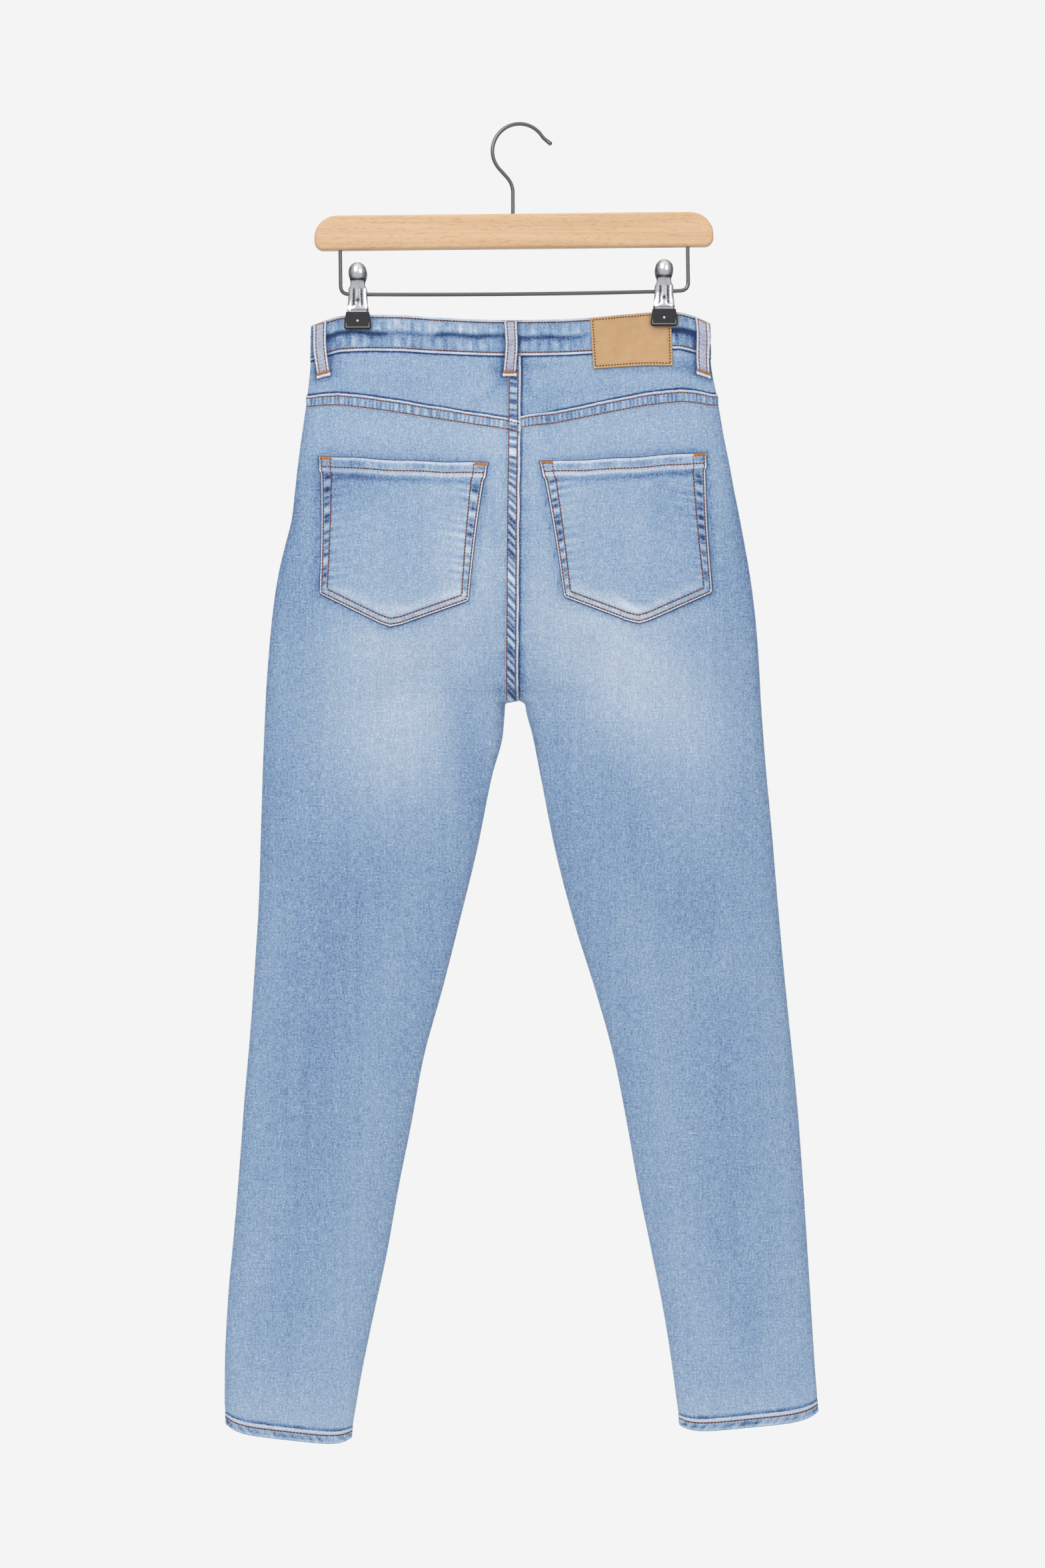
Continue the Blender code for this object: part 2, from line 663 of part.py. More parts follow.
def pocket(side):
    """A five-sided patch pocket. Its top is turned in as a hem, so it is thicker there."""
    corners = dict(zip(POCKET_COLUMNS, np.array(POCKETS[side], float)))
    across = np.linspace(0.0, 1.0, 11)
    top = np.outer(1 - across, corners["outer_top"]) + np.outer(across, corners["inner_top"])
    foot_x = [corners[name][0] for name in ("outer_foot", "point", "inner_foot")]
    bend = (foot_x[1] - foot_x[0]) / (foot_x[2] - foot_x[0])
    stops, names = (0.0, bend, 1.0), ("outer_foot", "point", "inner_foot")
    across[np.abs(across - bend).argmin()] = bend
    foot = np.stack(
        [np.interp(across, stops, [corners[n][k] for n in names]) for k in (0, 1)], axis=1
    )
    hem = POCKET_HEM / 125.0
    outer, inner = [], []
    for share in (0.0, hem - 0.004, hem + 0.004, 0.25, 0.42, 0.6, 0.8, 1.0):
        place = top + (foot - top) * share
        proud = POCKET_PROUD * (share <= hem)
        outer.append(hip_moved("back", place[:, 0], place[:, 1], LAID_GAP + DENIM + proud))
        inner.append(hip_moved("back", place[:, 0], place[:, 1], LAID_GAP))
    return wall(f"back_pocket_{side}", outer, inner, "denim")


def patch():
    """The leather patch, over the waistband and the top of the yoke."""
    x = np.linspace(PATCH_LEFT, PATCH_RIGHT, 12)
    seat = BAND_PROUD + LAID_GAP
    drops = [np.full(12, drop) for drop in np.linspace(PATCH_TOP, PATCH_FOOT, 6)]
    outer = [hip_moved("back", x, drop, seat + PATCH_WALL) for drop in drops]
    inner = [hip_moved("back", x, drop, seat) for drop in drops]
    return wall("leather_patch", outer, inner, "patch_leather")


def fly():
    """The fly's doubled edge on the left front, with its J-shaped foot."""
    outer, inner = [], []
    for drop in [BAND_HEIGHT + BAND_GAP, 60.0, 90.0, *np.linspace(FLY_CURVE, FLY_FOOT, 7)]:
        turn = np.clip((drop - FLY_CURVE) / (FLY_FOOT - FLY_CURVE), 0.0, 1.0)
        width = 5.0 + (FLY_WIDTH - 5.0) * math.sqrt(1.0 - turn**2.2)
        x = -GAP - width * np.linspace(1.0, 0.0, 6)
        outer.append(hip_moved("front", x, np.full(6, drop), LAID_GAP + FLY_WALL))
        inner.append(hip_moved("front", x, np.full(6, drop), LAID_GAP))
    return wall("fly", outer, inner, "denim")


def turned(name, profile, centre, axis, material_name, sides=20):
    """A body of revolution. profile is a closed loop of (along the axis, radius), or one that
    starts and ends on the axis; axis is "x" or "y"."""
    bm = bmesh.new()
    on_axis = profile[0][1] == 0.0
    rings = []
    for along, radius in profile:
        if radius == 0.0:
            rings.append([(along, 0.0, 0.0)])
            continue
        turns = 2 * np.pi * np.arange(sides) / sides
        rings.append([(along, radius * math.cos(t), radius * math.sin(t)) for t in turns])
    order = {"x": lambda p: p, "y": lambda p: (p[1], p[0], p[2])}
    verts = [
        [bm.verts.new((np.array(order[axis](p)) + centre) * MM) for p in ring] for ring in rings
    ]
    pairs = list(zip(verts, verts[1:])) + ([] if on_axis else [(verts[-1], verts[0])])
    for first, second in pairs:
        for i in range(sides):
            j = (i + 1) % sides
            corners = [first[i % len(first)], first[j % len(first)]]
            corners += [second[j % len(second)], second[i % len(second)]]
            bm.faces.new(dict.fromkeys(corners))
    return add_object(name, bm, material_name)


def button():
    """A shank button on the overlap of the waistband."""
    seat = hip_moved("front", -7.0, BAND_HEIGHT / 2, BAND_PROUD)
    rise = seat[1] + GAP
    profile = (
        (0.0, 0.0),
        (0.0, 3.2),
        (1.4, 3.2),
        (1.6, BUTTON_RADIUS - 0.6),
        (2.3, BUTTON_RADIUS),
        (3.2, BUTTON_RADIUS - 0.7),
        (3.4, BUTTON_RADIUS - 2.0),
        (3.0, BUTTON_RADIUS - 3.2),
        (3.4, 2.4),
        (3.6, 0.0),
    )
    return turned("waist_button", profile, (seat[0], rise, seat[2]), "y", "button_metal")


def tube(name, path, radius, material_name):
    """A wire along a path of points in mm."""
    curve = bpy.data.curves.new(name, "CURVE")
    curve.dimensions = "3D"
    curve.bevel_depth = radius * MM
    curve.bevel_resolution = 2
    curve.use_fill_caps = True
    spline = curve.splines.new("POLY")
    spline.points.add(len(path) - 1)
    for point, place in zip(spline.points, path):
        point.co = (*(np.asarray(place) * MM), 1.0)
    curve.materials.append(material(material_name))
    made = bpy.data.objects.new(name, curve)
    bpy.context.scene.collection.objects.link(made)
    return made


def rounded(corners, radius, steps=5):
    """A path in the XZ plane with its corners rounded off by arcs of about this radius."""
    corners = [np.array(c, float) for c in corners]
    path = [corners[0]]
    for before, corner, after in zip(corners, corners[1:], corners[2:]):
        back, on = before - corner, after - corner
        reach = min(radius, np.linalg.norm(back) / 2, np.linalg.norm(on) / 2)
        start = corner + back / np.linalg.norm(back) * reach
        end = corner + on / np.linalg.norm(on) * reach
        for t in np.linspace(0.0, 1.0, steps):
            path.append((1 - t) ** 2 * start + 2 * t * (1 - t) * corner + t * t * end)
    return path + [corners[-1]]


def bar_place(along, up):
    """A point of the tilted hanger, from its distance along the bar and its height over the
    bar's underside, in the XZ plane."""
    x = along * math.cos(BAR_TILT) - up * math.sin(BAR_TILT)
    z = along * math.sin(BAR_TILT) + up * math.cos(BAR_TILT)
    return BAR_CENTRE_X + x, BAR_TOP_Z - BAR_HEIGHT + z


def hook():
    """The wire hook: an arc that opens to the wearer's right, and the shaft under it."""
    centre_z = WIRE_RADIUS - HOOK_RADIUS
    leaves, starts = math.radians(222.0), math.radians(33.0)
    arc = [
        (HOOK_RADIUS * math.cos(t), centre_z + HOOK_RADIUS * math.sin(t))
        for t in np.linspace(starts, leaves, 24)
    ]
    run = (SHAFT_X - arc[-1][0]) / -math.sin(leaves)
    neck = (SHAFT_X, arc[-1][1] + run * math.cos(leaves))
    tip = [(arc[0][0] + 6.4, arc[0][1] - 5.8), (arc[0][0] + 1.4, arc[0][1] - 1.8)]
    foot_z = bar_place(SHAFT_X - BAR_CENTRE_X, BAR_HEIGHT)[1] - BORE_DEPTH + GAP
    shaft = rounded([arc[-1], neck, (SHAFT_X, foot_z)], 8.0)[1:]
    path = [(x, 0.0, z) for x, z in tip + arc + shaft]
    tube("hanger_hook", path, WIRE_RADIUS, "chrome")


def bar_outline(inset):
    """The bar's outline in the XZ plane: wide curves at the top corners, small ones below."""
    half, tall = BAR_LENGTH / 2 - inset, BAR_HEIGHT - inset
    quarter = np.linspace(0.0, np.pi / 2, 8)
    top_x, top_z, foot = 21.0 - inset, 20.0 - inset, 8.0 - inset
    right = [
        (half - top_x + top_x * math.cos(t), tall - top_z + top_z * math.sin(t)) for t in quarter
    ]
    right_foot = [
        (half - foot + foot * math.sin(t), inset + foot - foot * math.cos(t))
        for t in quarter[::2]
    ]
    half_outline = right_foot + right
    return half_outline + [(-x, z) for x, z in half_outline[::-1]]


def bore(target, name, x, end_z, outward_z):
    """A blind bore for a wire's end, from end_z out through the bar's face."""
    cut = bmesh.new()
    bmesh.ops.create_cone(
        cut,
        cap_ends=True,
        segments=12,
        radius1=(WIRE_RADIUS + BORE_CLEARANCE) * MM,
        radius2=(WIRE_RADIUS + BORE_CLEARANCE) * MM,
        depth=abs(outward_z - end_z) * MM,
    )
    bmesh.ops.translate(cut, verts=cut.verts, vec=(x * MM, 0.0, (end_z + outward_z) / 2 * MM))
    cutter = add_object(name, cut, "beech")
    cutter.hide_render = True
    cutter.display_type = "WIRE"
    made = target.modifiers.new(name, "BOOLEAN")
    made.operation = "DIFFERENCE"
    made.object = cutter


def bar():
    """The wooden bar, its long edges rounded over, with bores for the hook and the rail."""
    bm = bmesh.new()
    half = BAR_THICKNESS / 2
    levels = ((-half, 2.6), (-half + 0.8, 0.9), (-half + 2.6, 0.0))
    levels += tuple((-y, inset) for y, inset in levels[::-1])
    rings = []
    for y, inset in levels:
        places = [bar_place(x, z) for x, z in bar_outline(inset)]
        rings.append([bm.verts.new((x * MM, y * MM, z * MM)) for x, z in places])
    for first, second in zip(rings, rings[1:]):
        for i in range(len(first)):
            j = (i + 1) % len(first)
            bm.faces.new((first[i], first[j], second[j], second[i]))
    bm.faces.new(rings[0])
    bm.faces.new(rings[-1])
    made = add_object("hanger_bar", bm, "beech", sharp=30.0)
    top = bar_place(SHAFT_X - BAR_CENTRE_X, BAR_HEIGHT)[1]
    bore(made, "hook_bore", SHAFT_X, top - BORE_DEPTH, top + 2.0)
    for name, along in (("rail_bore_left", -RAIL_HALF), ("rail_bore_right", RAIL_HALF)):
        x, foot = bar_place(along, 0.0)
        bore(made, name, x, foot + BORE_DEPTH, foot - 3.0)


def rail_height(along):
    """Height of the clips' wire over the bar's underside."""
    return -RAIL_DROP - RAIL_SAG * (1.0 - (along / RAIL_HALF) ** 2)


def rail():
    """The wire under the bar that carries the clips."""
    low, top = -RAIL_DROP, BORE_DEPTH - GAP
    left = rounded([(-RAIL_HALF, top), (-RAIL_HALF, low), (-RAIL_HALF + 20.0, low)], RAIL_BEND)[:-1]
    middle = [(x, rail_height(x)) for x in np.linspace(-RAIL_HALF + 16.0, RAIL_HALF - 16.0, 13)]
    right = [(-x, z) for x, z in left[::-1]]
    path = [bar_place(x, z) for x, z in left + middle + right]
    tube("clip_rail", [(x, 0.0, z) for x, z in path], WIRE_RADIUS, "chrome")


def rail_at(x):
    """Height of the wire at this x."""
    along = (x - BAR_CENTRE_X) / math.cos(BAR_TILT)
    return bar_place(along, rail_height(along))[1]


def clip_arm(name, x, z, outward, lean):
    """One pressed-metal arm, domed at the top. lean sets its foot further out."""
    outer, inner = [], []
    for height, away, half_width, bulge in ARM:
        across = np.linspace(-1.0, 1.0, 5)
        far = away + lean * smooth(-height, 0.0, 16.0) - bulge * across**2
        grid = np.stack([x + half_width * across, outward * far, np.full(5, z + height)], axis=-1)
        outer.append(grid)
        inner.append(grid - np.array([0.0, outward * ARM_WALL, 0.0]))
    return wall(name, outer, inner, "chrome")


def rounded_block(bm, corners, chamfer):
    """A box between two corners, in mm, with every edge cut back."""
    low, high = (np.array(c) * MM for c in corners)
    made = bmesh.ops.create_cube(bm, size=1.0)["verts"]
    bmesh.ops.scale(bm, verts=made, vec=high - low)
    bmesh.ops.translate(bm, verts=made, vec=(low + high) / 2)
    bmesh.ops.bevel(
        bm, geom=bm.edges[:], offset=chamfer * MM, segments=2, profile=0.5, affect="EDGES"
    )


def clip_pad(name, x, z, outward, step):
    """The rubber boot on an arm's foot, with a slot from above that takes the foot."""
    width, depth, height = PAD_SIZE
    top = z + PAD_TOP
    near = PINCHED + GAP / 2 + BAND_PROUD + GAP + step
    ends = sorted((outward * near, outward * (near + depth)))
    bm = bmesh.new()
    rounded_block(bm, ((x - width / 2, ends[0], top - height), (x + width / 2, ends[1], top)), 1.1)
    for vert in bm.verts:
        raised = (vert.co.z / MM - top + height) / height
        vert.co.x += (x * MM - vert.co.x) * PAD_TAPER * raised
    made = add_object(name, bm, "clip_rubber")
    foot = ARM[-1][1] + step
    slot_ends = sorted((outward * (foot + GAP), outward * (foot - ARM_WALL - GAP)))
    cut = bmesh.new()
    bmesh.ops.create_cube(cut, size=1.0)
    low = np.array((x - ARM[-1][2] - GAP, slot_ends[0], z + ARM[-1][0] - GAP)) * MM
    high = np.array((x + ARM[-1][2] + GAP, slot_ends[1], top + 5.0)) * MM
    bmesh.ops.scale(cut, verts=cut.verts, vec=high - low)
    bmesh.ops.translate(cut, verts=cut.verts, vec=(low + high) / 2)
    cutter = add_object(name + "_slot", cut, "clip_rubber")
    cutter.hide_render = True
    cutter.display_type = "WIRE"
    slot = made.modifiers.new("slot", "BOOLEAN")
    slot.operation = "DIFFERENCE"
    slot.object = cutter


def clip_spring(name, x, z):
    """The coil round the wire that the two arms turn on, as a plain sleeve."""
    bore, outside, half = WIRE_RADIUS + 0.5, 4.1, 4.5
    loop = ((-half, bore), (-half, outside), (half, outside), (half, bore))
    turned(name, loop, (x, 0.0, z), "x", "chrome", sides=14)


def clip(side):
    """A clip on the wire: a coil, two arms and their rubber pads, which press the waistband."""
    x = CLIP_X[side]
    z = rail_at(x)
    clip_spring(f"clip_{side}_spring", x, z)
    patch_step = PATCH_WALL + LAID_GAP if side == "right" else 0.0
    for face, outward, step in (("back", -1.0, patch_step), ("front", 1.0, 0.0)):
        clip_arm(f"clip_{side}_arm_{face}", x, z, outward, step)
        clip_pad(f"clip_{side}_pad_{face}", x, z, outward, step)


def main():
    clear_scene()
    for side in ("left", "right"):
        back_panel(side)
        front_panel(side)
        yoke(side)
        pocket(side)
        pocket_facing(side)
        clip(side)
    waistband()
    for name, face, top_x, foot_x in LOOPS:
        belt_loop(name, face, top_x, foot_x)
    patch()
    fly()
    button()
    hook()
    bar()
    rail()


main()
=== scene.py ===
"""Looks of the skinny jeans on their clip hanger, seen from the back.

Sizes are in millimetres, in the frame of the solids: +Z up, -Y the side that the back of the
jeans faces, +X the wearer's right, the origin under the top of the hook. The denim's surface is
worked out as the solids' is, by cloth(), but with a softer crotch, and its relief, seams and
stitches lie on that surface.

Every cloth mesh carries three values at each point, which its material reads: tone is how far
the denim is washed out, with painted shade and shadow lines beside seams, pockets, loops and
folds worked into it, 0 for dark indigo and 1 for nearly white; flat is the place on the cut
cloth; inside is 1 on the wrong side of the cloth.
"""

import math

import bmesh
import bpy
import numpy as np
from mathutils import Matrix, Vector


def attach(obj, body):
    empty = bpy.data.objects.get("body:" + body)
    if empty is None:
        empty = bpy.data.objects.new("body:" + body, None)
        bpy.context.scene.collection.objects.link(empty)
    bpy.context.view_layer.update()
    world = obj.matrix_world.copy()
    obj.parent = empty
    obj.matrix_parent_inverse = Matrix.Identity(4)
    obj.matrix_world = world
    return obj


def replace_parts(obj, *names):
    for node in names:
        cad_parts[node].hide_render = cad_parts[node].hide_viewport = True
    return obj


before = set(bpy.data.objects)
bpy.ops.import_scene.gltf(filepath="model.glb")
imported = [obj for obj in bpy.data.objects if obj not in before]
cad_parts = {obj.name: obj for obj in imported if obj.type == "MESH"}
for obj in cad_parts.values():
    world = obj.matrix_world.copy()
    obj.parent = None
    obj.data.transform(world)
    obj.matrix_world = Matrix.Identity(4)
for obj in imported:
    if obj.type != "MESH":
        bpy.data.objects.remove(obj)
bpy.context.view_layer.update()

MM = 0.001
TONE_TOP = 1.2  # of the palest folded edges

# Picture, in metres and watts
CAMERA_AWAY = 3.6
VIEW_HEIGHT = 1.4112  # what the picture's height covers at the jeans
VIEW_CENTRE = (0.0027, -0.5924)
WORLD_STRENGTH = 1.10
KEY_WATTS = 30.0
FILL_WATTS = 8.0
FLOOR_Z = -1.78
FLOOR_RADIUS = 1.3

# Cloth sizes
LAID_GAP = 0.6
SEAT_GAP = 0.25  # between a sewn-on piece and the cloth that it lies on
DENIM = 1.2
BAND_HEIGHT = 33.0
BAND_WALL = 2.2
BAND_PROUD = 0.6
BAND_ROWS = (2.7, 29.7)  # drops of its two rows of stitches
FELL_WIDTH = 11.0
FELL_PROUD = 0.9
FELL_ROWS = (0.24, 0.95)  # where its two rows of stitches lie across it
HEM_HEIGHT = 11.5
HEM_PROUD = 0.55
HEM_EXTRA = 0.7  # how much thicker the turned hem is on its inside
HEM_ROW = 7.9  # its row of stitches, from the foot
LOOP_WIDTH = 11.2
LOOP_WALL = 1.6
LOOP_BOW = 1.4
LOOP_ROW = 0.57  # where its two rows of stitches lie, from the middle to an edge
POCKET_HEM = 15.0
POCKET_HEM_ROW = 9.8
POCKET_FIRST_ROW = 2.9  # the outer of its two rows, from its edge
POCKET_ROWS = {"left": (8.6, 10.4), "right": (10.4, 8.8)}  # gap of the two rows at the top
PATCH_WALL = 1.2
PATCH_ROW = 2.1
PATCH_PITCH = 2.6  # of its stitches
FLY_WIDTH = 36.0
FLY_WALL = 1.0
FLY_ROWS = (2.2, 8.0)
SCOOP_ROWS = (2.0, 8.0)  # along the front pockets' openings
CENTRE_FRONT_ROWS = (2.2, 8.6)
FACING_WALL = 1.0
WAIST_Z = -173.0
ROUNDNESS = 2.4
CROTCH_DROP = 344.0
CROTCH_SHARE = 0.955  # of the seat's section, where the crotch meets the centre
CROTCH_BLEND = 96.0
CROTCH_EDGE = 12.0
UNDERLAP = 34.0
OVERLAP = 7.0

# Stitches
STITCH_LENGTH = 2.7
STITCH_GAP = 0.22
STITCH_RADIUS = 0.58
TACK_PITCH = 0.55

# Hanger sizes
WIRE_RADIUS = 1.7
HOOK_RADIUS = 24.3
SHAFT_X = -5.9
BAR_LENGTH = 359.0
BAR_HEIGHT = 31.2
BAR_THICKNESS = 12.0
BAR_TOP_Z = -79.6
BAR_CENTRE_X = -4.9
BAR_TILT = math.radians(0.6)
RAIL_DROP = 39.3
RAIL_HALF = 156.4
RAIL_BEND = 8.0
RAIL_SAG = 1.4
CLIP_X = {"left": -145.5, "right": 130.0}
CLIP_PLATEAU = 15.0
CLIP_REACH = 60.0
CLIP_FADE = (10.0, 65.0)
PINCHED = 1.75
PAD_SIZE = (25.0, 4.5, 15.7)
PAD_TAPER = 0.18
PAD_TOP = -16.3
ARM_WALL = 1.0

LEG_PARTS = ("", "_knee", "_calf")  # the ends of the names of a leg panel's solids

# Outlines of the two halves: drop of the outer edge below the waist, and how much lower the
# same section meets the centre seam or the inseam.
LEG_COLUMNS = ("drop", "outer_x", "inner_x", "fall")
LEG = {
    "left": (
        (-6, -187.0, 0.0, 0.0),
        (33, -188.0, 0.0, 0.0),
        (73, -191.8, 0.0, 0.0),
        (103, -195.8, 0.0, 0.0),
        (133, -199.6, 0.0, 0.0),
        (157, -202.2, 0.0, 0.0),
        (181, -205.0, 0.0, 0.0),
        (205, -211.0, 0.0, 0.0),
        (229, -216.6, 0.0, 0.0),
        (253, -220.6, 0.0, 0.0),
        (277, -223.4, 0.0, 0.0),
        (301, -225.6, 0.0, 0.0),
        (325, -227.4, 0.0, 0.0),
        (338, -228.2, 0.0, 0.0),
        (344, -228.5, 0.0, 0.0),
        (346.5, -228.6, -6.5, -0.7),
        (349, -228.7, -12.6, -1.8),
        (356, -229.0, -13.4, 0.0),
        (372, -229.7, -15.0, 3.0),
        (403, -231.0, -24.5, 8.0),
        (463, -232.8, -37.9, 14.0),
        (523, -234.6, -53.7, 19.0),
        (583, -238.2, -69.7, 22.0),
        (643, -242.4, -86.3, 22.5),
        (703, -247.6, -97.4, 22.0),
        (763, -252.0, -109.0, 20.0),
        (823, -257.0, -119.4, 18.5),
        (883, -262.4, -132.0, 17.0),
        (943, -265.2, -143.7, 15.0),
        (975, -265.4, -148.6, 13.8),
        (1002, -264.0, -151.5, 12.5),
    ),
    "right": (
        (-6, 171.0, 0.0, 0.0),
        (33, 172.0, 0.0, 0.0),
        (73, 178.6, 0.0, 0.0),
        (103, 183.4, 0.0, 0.0),
        (133, 189.2, 0.0, 0.0),
        (157, 193.6, 0.0, 0.0),
        (181, 198.4, 0.0, 0.0),
        (205, 202.8, 0.0, 0.0),
        (229, 207.0, 0.0, 0.0),
        (253, 210.4, 0.0, 0.0),
        (277, 213.0, 0.0, 0.0),
        (301, 214.9, 0.0, 0.0),
        (325, 216.3, 0.0, 0.0),
        (338, 216.9, 0.0, 0.0),
        (344, 217.2, 0.0, 0.0),
        (346.5, 217.4, 2.4, -0.7),
        (349, 217.6, 4.6, -1.8),
        (356, 218.0, 6.4, 0.0),
        (372, 219.2, 11.6, 3.0),
        (403, 221.6, 18.8, 8.0),
        (463, 227.2, 31.8, 14.0),
        (523, 232.2, 48.6, 19.0),
        (583, 237.6, 68.3, 22.0),
        (643, 243.6, 85.0, 22.5),
        (703, 249.6, 96.7, 21.5),
        (763, 254.2, 107.0, 19.5),
        (823, 258.2, 119.0, 17.5),
        (883, 262.0, 130.6, 16.0),
        (943, 265.8, 139.3, 14.0),
        (972, 267.8, 142.6, 13.0),
        (991, 268.4, 144.2, 12.0),
    ),
}
DEPTH_COLUMNS = ("drop", "back", "front", "share")
DEPTH = (
    (-6, 8.0, 8.0, 0.5),
    (33, 9.0, 9.0, 0.5),
    (90, 15.0, 12.5, 0.5),
    (180, 22.0, 16.0, 0.5),
    (250, 24.0, 17.0, 0.55),
    (300, 22.0, 16.5, 0.68),
    (330, 19.5, 16.0, 0.86),
    (344, 18.0, 15.5, 1.0),
    (450, 17.0, 15.0, 1.0),
    (650, 14.0, 13.0, 1.0),
    (850, 12.0, 11.5, 1.0),
    (1010, 11.0, 10.5, 1.0),
)
TOP_COLUMNS = ("x", "dip")
TOP_LINE = (
    (-188, 7.2),
    (-176, 2.8),
    (-158, -2.0),
    (-133, -2.8),
    (-108, -2.2),
    (-80, 0.0),
    (-14, 2.6),
    (30, 2.2),
    (64, 0.4),
    (96, -3.0),
    (118, -4.8),
    (143, -5.0),
    (155, -2.2),
    (172, 4.8),
)
TOP_FADE = 150.0

# The largest folds: face, x, drop, lean in degrees, half length, half width, rise.
FOLDS = (
    ("back", -74, 316, -58, 62, 15, -2.4),
    ("back", 80, 322, 55, 66, 15, -2.2),
    ("back", -34, 392, 8, 52, 13, -2.6),
    ("back", 36, 408, -10, 58, 14, -2.0),
    ("back", -196, 196, 64, 30, 14, -2.2),
    ("back", -150, 470, 74, 60, 17, 1.4),
    ("back", -168, 655, 82, 58, 17, -1.6),
    ("back", 172, 640, -80, 60, 18, -1.4),
    ("back", -205, 872, 76, 42, 16, 1.2),
    ("back", 204, 905, -70, 44, 16, -1.2),
    ("front", -62, 262, -66, 66, 14, -2.0),
    ("front", 66, 268, 66, 66, 14, -2.0),
    ("front", -58, 300, -50, 54, 13, -1.8),
    ("front", 62, 306, 50, 54, 13, -1.8),
    ("front", -165, 668, -84, 58, 17, -1.8),
    ("front", 170, 662, 84, 58, 17, -1.8),
    ("front", 150, 470, -60, 60, 17, 1.4),
    ("front", -205, 890, -72, 44, 16, 1.2),
)

# Smaller creases, on top of the solids' folds, with the same columns.
CREASES = (
    ("back", -150, 236, 78, 15, 3.2, 0.5),
    ("back", -158, 243, 70, 13, 3.0, -0.5),
    ("back", -168, 208, 82, 12, 3.2, 0.4),
    ("back", 98, 262, 60, 13, 3.2, 0.5),
    ("back", 108, 258, 76, 14, 3.0, -0.5),
    ("back", 86, 254, 48, 11, 3.0, 0.4),
    ("back", 12, 172, -20, 34, 6.0, -0.9),
    ("back", 24, 208, -32, 26, 6.0, 0.6),
    ("back", -24, 196, 14, 28, 6.0, -0.7),
    ("back", -184, 560, 86, 36, 5.0, -0.5),
    ("back", -120, 548, 84, 30, 5.0, 0.5),
    ("back", 130, 584, -84, 34, 6.0, -0.5),
    ("back", 196, 600, -78, 28, 5.0, 0.5),
    ("back", -150, 700, 80, 34, 6.0, 0.5),
    ("back", 168, 716, -84, 34, 6.0, 0.5),
    ("back", -60, 470, 60, 26, 6.0, 0.6),
    ("back", 62, 476, -60, 26, 6.0, 0.6),
    ("front", -40, 190, -70, 42, 5.0, 0.7),
    ("front", -46, 214, -64, 46, 5.0, -0.8),
    ("front", -52, 236, -60, 44, 5.5, 0.8),
    ("front", 40, 194, 70, 44, 5.0, 0.7),
    ("front", 46, 220, 66, 42, 5.0, -0.8),
    ("front", 56, 240, 58, 46, 5.5, 0.8),
    ("front", -150, 640, -86, 40, 5.5, 0.7),
    ("front", -158, 690, -82, 38, 5.5, 0.7),
    ("front", 156, 634, 86, 40, 5.5, 0.7),
    ("front", 164, 686, 82, 36, 5.5, 0.7),
)

# How washed out the denim is, by drop down the middle of a face.
WASH_COLUMNS = ("drop", "back", "front")
WASH = (
    (-6, 0.70, 0.68),
    (40, 0.72, 0.68),
    (90, 0.73, 0.66),
    (130, 0.72, 0.66),
    (250, 0.66, 0.66),
    (340, 0.61, 0.64),
    (440, 0.58, 0.61),
    (560, 0.59, 0.62),
    (700, 0.61, 0.62),
    (860, 0.645, 0.64),
    (940, 0.69, 0.67),
    (991, 0.78, 0.75),
)
